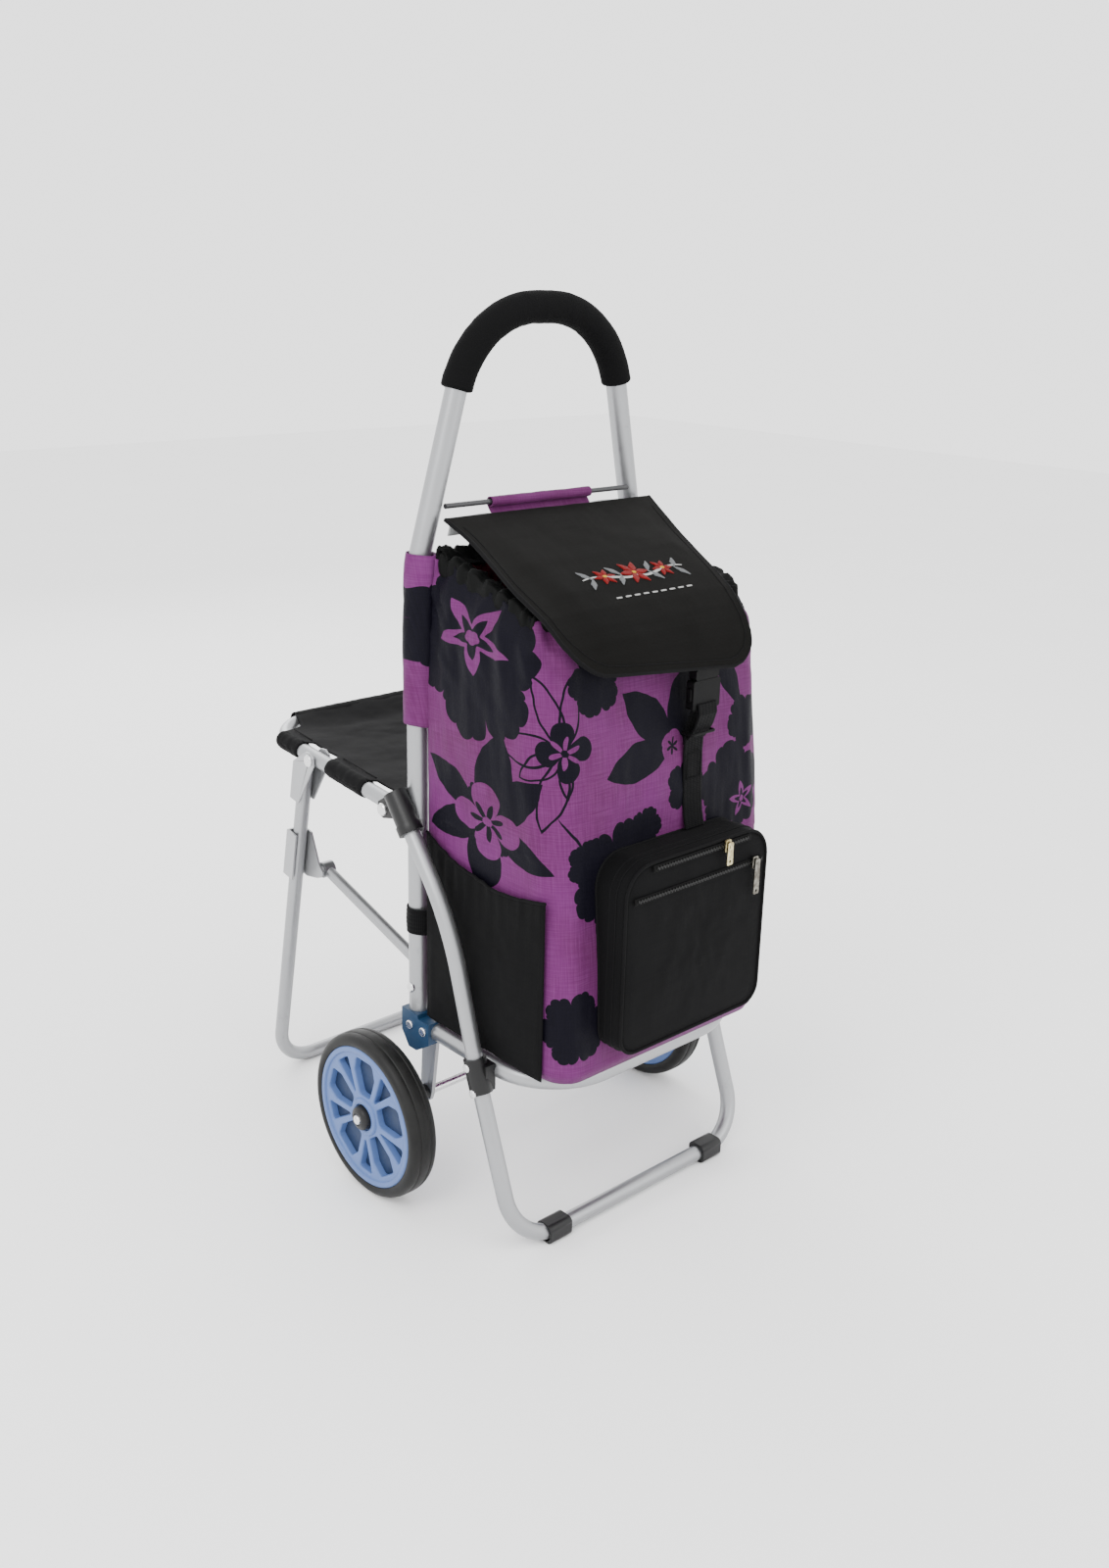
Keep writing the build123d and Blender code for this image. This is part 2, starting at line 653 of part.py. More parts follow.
def front_pocket():
    """Zipped pocket on the front of the bag."""
    rear_top = -197.4
    rear_bottom = -210.8
    front = POCKET_FRONT_Y
    outline = [
        (rear_bottom, POCKET_BOTTOM_Z),
        (front + 3, POCKET_BOTTOM_Z),
        (front, POCKET_BOTTOM_Z + 4),
        (front, POCKET_TOP_Z - 3),
        (front + 4, POCKET_TOP_Z),
        (rear_top, POCKET_TOP_Z),
        (-207.3, 295),
    ]
    body = plate(outline, POCKET_LEFT, POCKET_RIGHT)
    across = body.edges().filter_by(Axis.Y).group_by(Axis.Z)[-1]
    return fillet(across, 30.0)


parts["front_pocket"] = front_pocket()

# ---- flap, strap and buckle ---------------------------------------------------------
def flap():
    """Stiff fabric lid that slopes forwards and turns down over the bag's front."""
    hy, hz = FLAP_HINGE
    outer = [(hy, hz), (-150, 622), (-188, 600), (-207, 578), (-215, 550)]
    inner = [(-211, 550), (-203, 576), (-185.5, 596.5), (-148.5, 618), (hy, hz - FLAP_T)]
    body = plate(outer + inner, -FLAP_HALF, FLAP_HALF)
    low_z = inner[0][1]
    arc_x = FLAP_HALF - FLAP_CORNER_R
    arc_z = low_z + FLAP_CORNER_R
    corner = box_between((arc_x, -230, low_z - 1), (FLAP_HALF + 1, -180, arc_z))
    corner -= bar((arc_x, -240, arc_z), (arc_x, -170, arc_z), FLAP_CORNER_R)
    return body - corner - other_side(corner)


parts["flap"] = flap()

upper_strap = plate(
    [(BUCKLE_Y - 1, BUCKLE_TOP_Z - 2), (BUCKLE_Y + 1, BUCKLE_TOP_Z - 2), (-194, 590), (-197, 590)],
    STRAP_X - STRAP_HALF,
    STRAP_X + STRAP_HALF,
)
upper_strap -= parts["flap"]
parts["flap_strap"] = upper_strap


def buckle_half(low_z, high_z, half_width):
    low = (STRAP_X - half_width, BUCKLE_Y - BUCKLE_HALF_T, low_z)
    high = (STRAP_X + half_width, BUCKLE_Y + BUCKLE_HALF_T, high_z)
    body = box_between(low, high)
    return fillet(body.edges().filter_by(Axis.Y), 2.5)


male = buckle_half(BUCKLE_MOUTH_Z + 0.4, BUCKLE_TOP_Z, MALE_HALF)
parts["buckle_male"] = male - upper_strap
BUTTON_X0 = 11.5
BUTTON_X1 = 18.5
BUTTON_Z = (BUCKLE_BOTTOM_Z + 8, BUCKLE_MOUTH_Z - 7)
female = buckle_half(BUCKLE_BOTTOM_Z, BUCKLE_MOUTH_Z, FEMALE_HALF)
for side in (1, -1):
    window_low = (min(side * 8, side * 30), BUCKLE_Y - 2.9, BUTTON_Z[0] - 0.4)
    window_high = (max(side * 8, side * 30), BUCKLE_Y + 2.9, BUTTON_Z[1] + 0.4)
    female -= Pos(STRAP_X, 0, 0) * box_between(window_low, window_high)
button = box_between(
    (BUTTON_X0, BUCKLE_Y - 2.4, BUTTON_Z[0]), (BUTTON_X1, BUCKLE_Y + 2.4, BUTTON_Z[1])
)
button = fillet(button.edges().group_by(Axis.X)[-1], 1.2)
parts["buckle_button_right"] = Pos(STRAP_X, 0, 0) * button
parts["buckle_button_left"] = Pos(STRAP_X, 0, 0) * other_side(button)

lower_strap = plate(
    [(-203, BUCKLE_BOTTOM_Z + 4), (-205, BUCKLE_BOTTOM_Z + 4), (-206, 398.2), (-204, 398.2)],
    STRAP_X - STRAP_HALF,
    STRAP_X + STRAP_HALF,
)
parts["bag_strap"] = lower_strap
parts["buckle_female"] = female - lower_strap


# ---- zips ---------------------------------------------------------------------------
def zip_strip(z, left, right):
    low = (left, POCKET_FRONT_Y - 1.2, z - 3)
    return box_between(low, (right, POCKET_FRONT_Y - CONTACT, z + 3))


parts["pocket_zips"] = Compound(
    children=[zip_strip(ZIP_TOP_Z, -60, 60), zip_strip(ZIP_FRONT_Z, -82, 80)]
)


def zip_puller(x, z, tab_length):
    """Slider with a hanging pull tab."""
    face = POCKET_FRONT_Y - 1.5
    body = box_between((x - 4, face - 3.2, z - 5), (x + 4, face, z + 5))
    body = fillet(body.edges().filter_by(Axis.Y), 1.8)
    tab = box_between((x - 3.2, FRONT_EXTENT, z + 3 - tab_length), (x + 3.2, FRONT_EXTENT + 1.4, z + 3))
    tab = fillet(tab.edges().filter_by(Axis.Y), 2.4)
    bridge = box_between((x - 1.5, FRONT_EXTENT + 1, z - 2), (x + 1.5, face - 2, z + 2))
    return body + tab + bridge


parts["zip_puller_top"] = zip_puller(30.0, ZIP_TOP_Z, 21.0)
parts["zip_puller_front"] = zip_puller(70.0, ZIP_FRONT_Z, 34.0)

for name, shape in parts.items():
    export_step(Pos(0, SHIFT_Y, 0) * shape, "parts/" + name + ".step")
    box = shape.bounding_box()
    print(name, [round(v, 1) for v in (*box.min, *box.max)])
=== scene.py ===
import bpy
import math
from mathutils import Matrix, Vector, noise


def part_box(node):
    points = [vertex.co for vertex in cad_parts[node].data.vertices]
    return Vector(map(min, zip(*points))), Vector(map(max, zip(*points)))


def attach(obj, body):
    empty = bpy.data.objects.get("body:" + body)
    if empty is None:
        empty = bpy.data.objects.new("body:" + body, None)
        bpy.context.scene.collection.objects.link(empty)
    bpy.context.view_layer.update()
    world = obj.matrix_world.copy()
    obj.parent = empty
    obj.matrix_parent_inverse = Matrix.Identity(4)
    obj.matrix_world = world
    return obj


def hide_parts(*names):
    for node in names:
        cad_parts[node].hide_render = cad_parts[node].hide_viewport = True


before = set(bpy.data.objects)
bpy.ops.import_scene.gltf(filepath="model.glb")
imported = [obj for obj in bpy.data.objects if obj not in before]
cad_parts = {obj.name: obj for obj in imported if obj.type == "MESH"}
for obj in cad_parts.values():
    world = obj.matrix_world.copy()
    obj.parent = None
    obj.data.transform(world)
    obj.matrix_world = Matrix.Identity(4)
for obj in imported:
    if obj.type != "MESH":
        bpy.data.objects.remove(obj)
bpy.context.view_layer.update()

# ---- shared measures, in millimetres unless a name says otherwise -------------------
# Pieces are drawn in millimetres with the uprights on Y = 0; at() moves them into the
# row frame in metres.
MM = 0.001
TUBE_R = 10.0
UP_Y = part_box("handle_frame")[1][1] / MM - TUBE_R
UPRIGHT_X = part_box("handle_frame")[1][0] / MM - TUBE_R
SIDES = (("left", -1), ("right", 1))


def at(x, y, z):
    return Vector((x, y + UP_Y, z)) * MM


def low(node, axis):
    """Lowest coordinate of a CAD node, in millimetres with the uprights on Y = 0."""
    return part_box(node)[0][axis] / MM - (UP_Y if axis == 1 else 0)


def high(node, axis):
    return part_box(node)[1][axis] / MM - (UP_Y if axis == 1 else 0)


def clamp(value, low_value=0.0, high_value=1.0):
    return max(low_value, min(high_value, value))


def smooth(edge0, edge1, value):
    t = clamp((value - edge0) / (edge1 - edge0))
    return t * t * (3 - 2 * t)


def mix(a, b, t):
    return a + (b - a) * t


def along(table, value):
    """Straight-line lookup in a short table of (value, result) pairs."""
    for (v0, r0), (v1, r1) in zip(table, table[1:]):
        if value <= v1:
            return mix(r0, r1, clamp((value - v0) / (v1 - v0)))
    return table[-1][1]


def ripple(x, y, z=0.0, octaves=3):
    """Smooth fixed noise in -1..1."""
    return noise.fractal(Vector((x, y, z)), 0.9, 2.1, octaves)


# ---- camera and light ---------------------------------------------------------------
CAMERA_MM = (-949.7, -1071.7, 885.3)
CAMERA_TURN = (-42.66, 18.99, 1.42)      # azimuth, elevation, roll in degrees
CAMERA_LENS = 34.53


def make_camera():
    data = bpy.data.cameras.new("camera")
    data.lens = CAMERA_LENS
    data.sensor_width = 36.0
    data.clip_start = 0.05
    data.clip_end = 50.0
    cam = bpy.data.objects.new("camera", data)
    turn, tilt, roll = (math.radians(v) for v in CAMERA_TURN)
    back = Vector((math.sin(turn) * math.cos(tilt), -math.cos(turn) * math.cos(tilt), math.sin(tilt)))
    right = Vector((math.cos(turn), math.sin(turn), 0))
    up = back.cross(right)
    rolled_right = right * math.cos(roll) + up * math.sin(roll)
    rolled_up = up * math.cos(roll) - right * math.sin(roll)
    place = Matrix((rolled_right, rolled_up, back)).transposed().to_4x4()
    place.translation = at(*CAMERA_MM)
    cam.matrix_world = place
    bpy.context.scene.collection.objects.link(cam)
    bpy.context.scene.camera = cam


def area_light(name, place, target, size, power, colour=(1, 1, 1)):
    data = bpy.data.lights.new(name, "AREA")
    data.shape = "DISK"
    data.size = size
    data.energy = power
    data.color = colour
    lamp = bpy.data.objects.new(name, data)
    lamp.location = place
    lamp.rotation_mode = "QUATERNION"
    lamp.rotation_quaternion = (Vector(target) - Vector(place)).to_track_quat("-Z", "Y")
    bpy.context.scene.collection.objects.link(lamp)


def make_studio():
    world = bpy.data.worlds.new("studio")
    bpy.context.scene.world = world
    world.use_nodes = True
    sky = world.node_tree.nodes["Background"]
    sky.inputs["Color"].default_value = (1.0, 1.0, 1.0, 1)
    sky.inputs["Strength"].default_value = 2.3
    middle = (0, 0, 0.4)
    area_light("key", (-1.9, -0.6, 2.2), middle, 1.4, 42)
    area_light("front", (0.9, -2.4, 1.5), middle, 1.8, 16)
    area_light("rear", (0.6, 2.2, 1.6), middle, 1.5, 22)
    floor = grid("floor", 2, 2, lambda u, v: Vector((u * 12 - 6, v * 12 - 6, 0)), paper())


# ---- mesh helpers -------------------------------------------------------------------
def make_object(name, verts, faces, material, uvs=None, shade_smooth=True):
    mesh = bpy.data.meshes.new(name)
    mesh.from_pydata([tuple(v) for v in verts], [], faces)
    if uvs:
        layer = mesh.uv_layers.new(name="UVMap")
        for loop in mesh.loops:
            layer.data[loop.index].uv = uvs[loop.vertex_index]
    mesh.polygons.foreach_set("use_smooth", [shade_smooth] * len(mesh.polygons))
    mesh.materials.append(material)
    mesh.update()
    obj = bpy.data.objects.new(name, mesh)
    bpy.context.scene.collection.objects.link(obj)
    return obj


def grid(name, cols, rows, point, material, uv=None, closed=False):
    """Surface from point(u, v), with u and v in 0..1; closed joins the last column to the first."""
    verts = []
    uvs = []
    across = cols + 1
    for j in range(rows + 1):
        for i in range(across):
            u = i / cols
            v = j / rows
            verts.append(point(u, v))
            uvs.append(uv(u, v) if uv else (u, v))
    faces = []
    for j in range(rows):
        for i in range(cols):
            a = j * across + i
            faces.append((a, a + 1, a + across + 1, a + across))
    obj = make_object(name, verts, faces, material, uvs)
    if closed:
        weld(obj)
    return obj


def weld(obj, distance=0.00002):
    mod = obj.modifiers.new("weld", "WELD")
    mod.merge_threshold = distance
    bake(obj)


def bake(obj):
    """Applies every modifier."""
    graph = bpy.context.evaluated_depsgraph_get()
    mesh = bpy.data.meshes.new_from_object(obj.evaluated_get(graph))
    mesh.name = obj.name
    if obj.type == "CURVE":
        name = obj.name
        materials = list(obj.data.materials)
        bpy.data.objects.remove(obj)
        obj = bpy.data.objects.new(name, mesh)
        bpy.context.scene.collection.objects.link(obj)
        if not mesh.materials:
            for material in materials:
                mesh.materials.append(material)
    else:
        obj.modifiers.clear()
        obj.data = mesh
    return obj


def thicken(obj, thickness, offset=-1.0):
    mod = obj.modifiers.new("thick", "SOLIDIFY")
    mod.thickness = thickness * MM
    mod.offset = offset
    mod.use_even_offset = False


def round_edges(obj, width, segments=2, angle=35.0):
    mod = obj.modifiers.new("round", "BEVEL")
    mod.width = width * MM
    mod.segments = segments
    mod.limit_method = "ANGLE"
    mod.angle_limit = math.radians(angle)
    mod.harden_normals = False


def cord_shape(name, points, radius, material, closed=False):
    """Round bead along points (vectors in metres), turned into a mesh."""
    data = bpy.data.curves.new(name, "CURVE")
    data.dimensions = "3D"
    data.bevel_depth = radius * MM
    data.bevel_resolution = 4
    data.use_fill_caps = not closed
    spline = data.splines.new("POLY")
    spline.points.add(len(points) - 1)
    for spot, point in zip(spline.points, points):
        spot.co = (*point, 1)
    spline.use_cyclic_u = closed
    spline.use_smooth = True
    data.materials.append(material)
    obj = bpy.data.objects.new(name, data)
    bpy.context.scene.collection.objects.link(obj)
    obj = bake(obj)
    obj.data.polygons.foreach_set("use_smooth", [True] * len(obj.data.polygons))
    return obj


def rounded(points, radius, steps=5):
    """Closed 2-D outline with its corners turned into arcs."""
    out = []
    count = len(points)
    for i in range(count):
        here = Vector(points[i])
        before = Vector(points[i - 1]) - here
        after = Vector(points[(i + 1) % count]) - here
        half = before.angle(after) / 2
        reach = min(radius / math.tan(half), before.length * 0.48, after.length * 0.48)
        start = here + before.normalized() * reach
        end = here + after.normalized() * reach
        for k in range(steps + 1):
            t = k / steps
            out.append(start * (1 - t) ** 2 + here * 2 * t * (1 - t) + end * t * t)
    return out


def cut_plate(name, outlines, thickness, bevel, material, place):
    """Plate with holes and rounded edges; the first outline is the outer one, in mm."""
    data = bpy.data.curves.new(name, "CURVE")
    data.dimensions = "2D"
    data.fill_mode = "BOTH"
    data.extrude = (thickness / 2 - bevel) * MM
    data.bevel_depth = bevel * MM
    data.bevel_resolution = 2
    data.offset = -bevel * MM
    for outline in outlines:
        spline = data.splines.new("POLY")
        spline.points.add(len(outline) - 1)
        for spot, point in zip(spline.points, outline):
            spot.co = (point[0] * MM, point[1] * MM, 0, 1)
        spline.use_cyclic_u = True
    data.materials.append(material)
    obj = bpy.data.objects.new(name, data)
    bpy.context.scene.collection.objects.link(obj)
    obj = bake(obj)
    obj.data.transform(place)
    return obj


def circle(radius, count=96, middle=(0, 0)):
    turns = [2 * math.pi * i / count for i in range(count)]
    return [Vector((middle[0] + radius * math.cos(a), middle[1] + radius * math.sin(a))) for a in turns]


def turned(name, profile, material, middle, count=96):
    """Solid of revolution about a line along X; profile is (x, radius) in mm."""
    def point(u, v):
        spot = v * (len(profile) - 1)
        i = min(int(spot), len(profile) - 2)
        x = mix(profile[i][0], profile[i + 1][0], spot - i)
        r = mix(profile[i][1], profile[i + 1][1], spot - i)
        a = 2 * math.pi * u
        return at(x, middle[0] + r * math.cos(a), middle[1] + r * math.sin(a))

    def lay(u, v):
        return (u * 2 * math.pi * 0.08, v * 0.1)

    return grid(name, count, len(profile) - 1, point, material, uv=lay, closed=True)


def flip_if(obj, wrong):
    if wrong:
        obj.data.flip_normals()


def finish_piece(obj, body, slot, *nodes):
    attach(obj, body)
    if nodes:
        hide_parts(*nodes)
    return obj


# ---- material helpers ---------------------------------------------------------------
class Nodes:
    """A material's node tree, with short calls that add and link nodes."""

    def __init__(self, name):
        self.mat = bpy.data.materials.new(name)
        self.mat.use_nodes = True
        self.tree = self.mat.node_tree
        self.shader = self.tree.nodes["Principled BSDF"]

    def node(self, kind, links=None, **settings):
        made = self.tree.nodes.new(kind)
        for key, value in settings.items():
            setattr(made, key, value)
        for key, value in (links or {}).items():
            self.plug(made.inputs[key], value)
        return made

    def plug(self, socket, value):
        if isinstance(value, bpy.types.NodeSocket):
            self.tree.links.new(value, socket)
        else:
            socket.default_value = value

    def math(self, operation, a, b=0.0, c=0.0):
        made = self.node("ShaderNodeMath", {0: a, 1: b, 2: c}, operation=operation)
        return made.outputs[0]

    def place(self, uv=False):
        coords = self.node("ShaderNodeTexCoord").outputs["UV" if uv else "Object"]
        return self.node("ShaderNodeMapping", {"Vector": coords}).outputs[0]

    def stretched(self, where, scale, detail, rough=0.55):
        """Noise drawn out along one direction of the cloth, as yarns and creases are."""
        laid = self.node("ShaderNodeMapping", {"Vector": where, "Scale": scale}).outputs[0]
        return self.noise(laid, 1.0, detail, rough)

    def noise(self, where, scale, detail=3.0, rough=0.55):
        made = self.node(
            "ShaderNodeTexNoise",
            {"Vector": where, "Scale": scale, "Detail": detail, "Roughness": rough},
        )
        return made.outputs["Fac"]

    def blend(self, factor, a, b):
        made = self.tree.nodes.new("ShaderNodeMix")
        made.data_type = "RGBA"
        for index, value in ((0, factor), (6, a), (7, b)):
            if not isinstance(value, bpy.types.NodeSocket) and index:
                value = (*value, 1)
            self.plug(made.inputs[index], value)
        return made.outputs[2]

    def spread(self, value, low_in, high_in, low_out, high_out):
        made = self.node(
            "ShaderNodeMapRange",
            {0: value, 1: low_in, 2: high_in, 3: low_out, 4: high_out},
        )
        return made.outputs[0]

    def bump(self, height, strength, distance):
        made = self.node(
            "ShaderNodeBump",
            {"Height": height, "Strength": strength, "Distance": distance},
        )
        self.plug(self.shader.inputs["Normal"], made.outputs[0])

    def set(self, **values):
        for key, value in values.items():
            socket = self.shader.inputs[key.replace("_", " ")]
            if isinstance(value, tuple) and len(value) == 3:
                value = (*value, 1)
            self.plug(socket, value)
        return self


def paper():
    n = Nodes("pale_floor")
    spots = n.noise(n.place(), 3.0, 2.0)
    n.set(Base_Color=n.blend(spots, (0.90, 0.90, 0.90), (0.93, 0.93, 0.93)), Roughness=0.9)
    return n.mat


def tube_metal():
    """Satin aluminium tube: fine drawn lines, faint clouding and small scuffs."""
    n = Nodes("satin_tube")
    where = n.place()
    cloud = n.noise(where, 9.0, 4.0)
    fine = n.noise(where, 420.0, 2.0)
    scuff = n.spread(n.noise(where, 60.0, 5.0, 0.7), 0.60, 0.72, 0.0, 1.0)
    tone = n.blend(cloud, (0.28, 0.285, 0.295), (0.36, 0.365, 0.375))
    tone = n.blend(n.math("MULTIPLY", scuff, 0.35), tone, (0.20, 0.20, 0.21))
    rough = n.spread(n.math("ADD", n.math("MULTIPLY", fine, 0.5), cloud), 0.4, 1.1, 0.30, 0.44)
    n.set(Base_Color=tone, Roughness=rough, Metallic=0.85)
    n.bump(n.math("ADD", fine, n.math("MULTIPLY", scuff, -0.6)), 0.12, 0.0004)
    return n.mat


def sheet_metal():
    """Pressed bracket sheet: whiter and flatter than the tubes."""
    n = Nodes("pressed_sheet")
    where = n.place()
    cloud = n.noise(where, 18.0, 4.0)
    fine = n.noise(where, 700.0, 2.0)
    tone = n.blend(cloud, (0.32, 0.325, 0.335), (0.40, 0.405, 0.415))
    n.set(Base_Color=tone, Roughness=n.spread(fine, 0.3, 0.7, 0.34, 0.46), Metallic=0.7)
    n.bump(fine, 0.1, 0.0004)
    return n.mat


def bright_steel():
    n = Nodes("bright_steel")
    where = n.place()
    rings = n.noise(where, 300.0, 3.0)
    tone = n.blend(n.noise(where, 40.0), (0.62, 0.62, 0.63), (0.80, 0.80, 0.80))
    n.set(Base_Color=tone, Roughness=n.spread(rings, 0.3, 0.7, 0.18, 0.34), Metallic=1.0)
    n.bump(rings, 0.08, 0.0003)
    return n.mat


def dark_paint():
    n = Nodes("dark_paint")
    cloud = n.noise(n.place(), 60.0, 3.0)
    n.set(Base_Color=n.blend(cloud, (0.012, 0.012, 0.014), (0.03, 0.03, 0.033)))
    n.set(Roughness=n.spread(cloud, 0.3, 0.7, 0.30, 0.45))
    n.bump(cloud, 0.05, 0.0003)
    return n.mat


def moulded(name, dark, light, rough, gloss=0.3):
    """Moulded plastic with a fine spark-eroded grain and rubbed patches."""
    n = Nodes(name)
    where = n.place()
    patches = n.noise(where, 28.0, 4.0)
    fine = n.noise(where, 900.0, 2.0)
    n.set(Base_Color=n.blend(patches, dark, light), Specular_IOR_Level=gloss)
    n.set(Roughness=n.spread(n.math("ADD", patches, fine), 0.7, 1.3, rough - 0.06, rough + 0.08))
    n.bump(fine, 0.25, 0.00025)
    return n.mat


def tyre_rubber():
    n = Nodes("tyre_rubber")
    where = n.place()
    dust = n.noise(where, 35.0, 5.0, 0.65)
    fine = n.noise(where, 800.0, 2.0)
    dusty = n.spread(dust, 0.4, 0.7, 0, 1)
    n.set(Base_Color=n.blend(dusty, (0.0025, 0.0025, 0.0025), (0.009, 0.009, 0.0085)))
    n.set(Specular_IOR_Level=0.22)
    n.set(Roughness=n.spread(dust, 0.3, 0.7, 0.42, 0.62))
    n.bump(n.math("ADD", fine, dust), 0.3, 0.0003)
    return n.mat


def foam_skin():
    """Closed-cell foam: pitted matt skin."""
    n = Nodes("foam_skin")
    where = n.place()
    cells = n.node("ShaderNodeTexVoronoi", {"Vector": where, "Scale": 900.0}).outputs["Distance"]
    cloud = n.noise(where, 30.0, 4.0)
    n.set(Base_Color=n.blend(cloud, (0.0018, 0.0018, 0.002), (0.005, 0.005, 0.0052)), Specular_IOR_Level=0.06)
    n.set(Roughness=n.spread(cloud, 0.3, 0.7, 0.80, 0.95))
    n.bump(n.math("ADD", cells, n.math("MULTIPLY", cloud, 1.5)), 0.5, 0.0006)
    return n.mat


def weave_height(n, pitch):
    """Plain weave from the UV map, which is in metres; pitch is in metres too."""
    parts = n.node("ShaderNodeSeparateXYZ", {0: n.place(uv=True)})
    turn = math.pi / pitch
    warp = n.math("SINE", n.math("MULTIPLY", parts.outputs[0], turn))
    weft = n.math("SINE", n.math("MULTIPLY", parts.outputs[1], turn))
    return n.math("ABSOLUTE", n.math("MULTIPLY", warp, weft))


def cloth(name, dark, light, rough=0.75, pitch=0.0011, sheen=0.01, streak=0.25):
    """Woven polyester: plain weave, uneven yarns and a faint sheen."""
    n = Nodes(name)
    height = weave_height(n, pitch)
    where = n.place(uv=True)
    yarn_v = n.stretched(where, (900, 14, 1), 2.0)
    yarn_h = n.stretched(where, (14, 900, 1), 2.0)
    yarns = n.math("MULTIPLY", n.math("ADD", yarn_v, yarn_h), 0.5)
    cloud = n.noise(n.place(), 14.0, 4.0)
    tone = n.blend(cloud, dark, light)
    tone = n.blend(n.math("MULTIPLY", n.spread(yarns, 0.3, 0.7, 0.0, 1.0), streak), tone, light)
    n.set(Base_Color=tone, Roughness=n.spread(yarns, 0.3, 0.7, rough - 0.07, rough + 0.07))
    n.set(Sheen_Weight=sheen, Sheen_Roughness=0.5, Specular_IOR_Level=0.05)
    n.bump(n.math("ADD", height, n.math("MULTIPLY", yarns, 1.4)), 0.25, 0.0004)
    return n.mat


def webbing_tape():
    """Ribbed tape: rows across the band from its UV map."""
    n = Nodes("webbing_tape")
    parts = n.node("ShaderNodeSeparateXYZ", {0: n.place(uv=True)})
    ribs = n.math("ABSOLUTE", n.math("SINE", n.math("MULTIPLY", parts.outputs[1], math.pi / 0.0016)))
    rows = n.math("ABSOLUTE", n.math("SINE", n.math("MULTIPLY", parts.outputs[0], math.pi / 0.0042)))
    cloud = n.noise(n.place(), 70.0, 3.0)
    n.set(Base_Color=n.blend(cloud, (0.0012, 0.0012, 0.0014), (0.0040, 0.0040, 0.0044)))
    n.set(Specular_IOR_Level=0.05)
    n.set(Roughness=n.spread(cloud, 0.3, 0.7, 0.5, 0.7), Sheen_Weight=0.01)
    n.bump(n.math("ADD", ribs, n.math("MULTIPLY", rows, 0.6)), 0.5, 0.0006)
    return n.mat


def thread(name, colour):
    n = Nodes(name)
    where = n.place()
    twist = n.node("ShaderNodeTexWave", {"Vector": where, "Scale": 260.0, "Distortion": 1.5})
    dark = tuple(v * 0.72 for v in colour)
    n.set(Base_Color=n.blend(twist.outputs["Fac"], dark, colour))
    n.set(Roughness=n.spread(twist.outputs["Fac"], 0, 1, 0.45, 0.6))
    n.set(Sheen_Weight=0.02, Specular_IOR_Level=0.1)
    n.bump(twist.outputs["Fac"], 0.6, 0.0005)
    return n.mat


def worn_metal(name, dull, bright):
    """Plated casting whose plating has rubbed through in patches."""
    n = Nodes(name)
    where = n.place()
    wear = n.spread(n.noise(where, 160.0, 4.0, 0.7), 0.4, 0.62, 0.0, 1.0)
    tone = n.blend(wear, dull, bright)
    n.set(Base_Color=tone, Roughness=n.spread(wear, 0, 1, 0.38, 0.20), Metallic=1.0)
    n.bump(wear, 0.15, 0.0003)
    return n.mat


# ---- the printed cloth --------------------------------------------------------------
# The cloth is one sheet unwrapped round the bag: U runs along the perimeter from the
# middle of the front (positive towards +X) and V is the height, both in millimetres.
PURPLE = (0.092, 0.0150, 0.085)
PURPLE_WARM = (0.068, 0.0105, 0.054)
INK = (0.0018, 0.0015, 0.0042)
BAG_HALF = high("bag_shell", 0)
BAG_REAR = high("bag_shell", 1)
BAG_BOTTOM = low("bag_shell", 2)
FRONT_CORNER = 32.0
REAR_CORNER = 9.0
BAG_FRONT = ((183, -212), (295, -207), (420, -195), (650, -165))
TOP_REAR_Z = high("bag_shell", 2)
TOP_FRONT_Z = 598.0


def front_y(z):
    return along(BAG_FRONT, z)


def side_uv(y, z):
    """Place on the unwrapped cloth of a point on the near side panel."""
    arc = BAG_HALF - FRONT_CORNER + FRONT_CORNER * math.pi / 2
    return (-(arc + y - front_y(z) - FRONT_CORNER), z)


def petals(n, where, count, reach, inner, power, ragged=0.0, pointed=False):
    """1 inside a rosette: its edge swings between inner and reach, with ragged small teeth."""
    parts = n.node("ShaderNodeSeparateXYZ", {0: where})
    x, y = parts.outputs[0], parts.outputs[1]
    angle = n.math("ARCTAN2", y, x)
    radius = n.math("SQRT", n.math("ADD", n.math("MULTIPLY", x, x), n.math("MULTIPLY", y, y)))
    phase = n.math("MULTIPLY", angle, count / 2)
    if pointed:
        swing = n.math("SUBTRACT", 1.0, n.math("ABSOLUTE", n.math("SINE", phase)))
    else:
        swing = n.math("ABSOLUTE", n.math("COSINE", phase))
    edge = n.math("MULTIPLY_ADD", n.math("POWER", swing, power), reach - inner, inner)
    if ragged:
        teeth = n.math("ABSOLUTE", n.math("SINE", n.math("MULTIPLY", angle, count * 1.5 + 1)))
        edge = n.math("MULTIPLY_ADD", n.math("POWER", teeth, 0.5), ragged, edge)
    return n.math("GREATER_THAN", edge, radius)


def leaf(n, where, half_length, half_width, line=0.0):
    """1 inside a pointed leaf lying along X, or along its outline only if line is given."""
    parts = n.node("ShaderNodeSeparateXYZ", {0: where})
    share = n.math("DIVIDE", parts.outputs[0], half_length)
    bow = n.math("SUBTRACT", 1.0, n.math("MULTIPLY", share, share))
    gap = n.math("SUBTRACT", n.math("MULTIPLY", bow, half_width), n.math("ABSOLUTE", parts.outputs[1]))
    if line:
        return n.math("LESS_THAN", n.math("ABSOLUTE", gap), line)
    return n.math("GREATER_THAN", gap, 0.0)


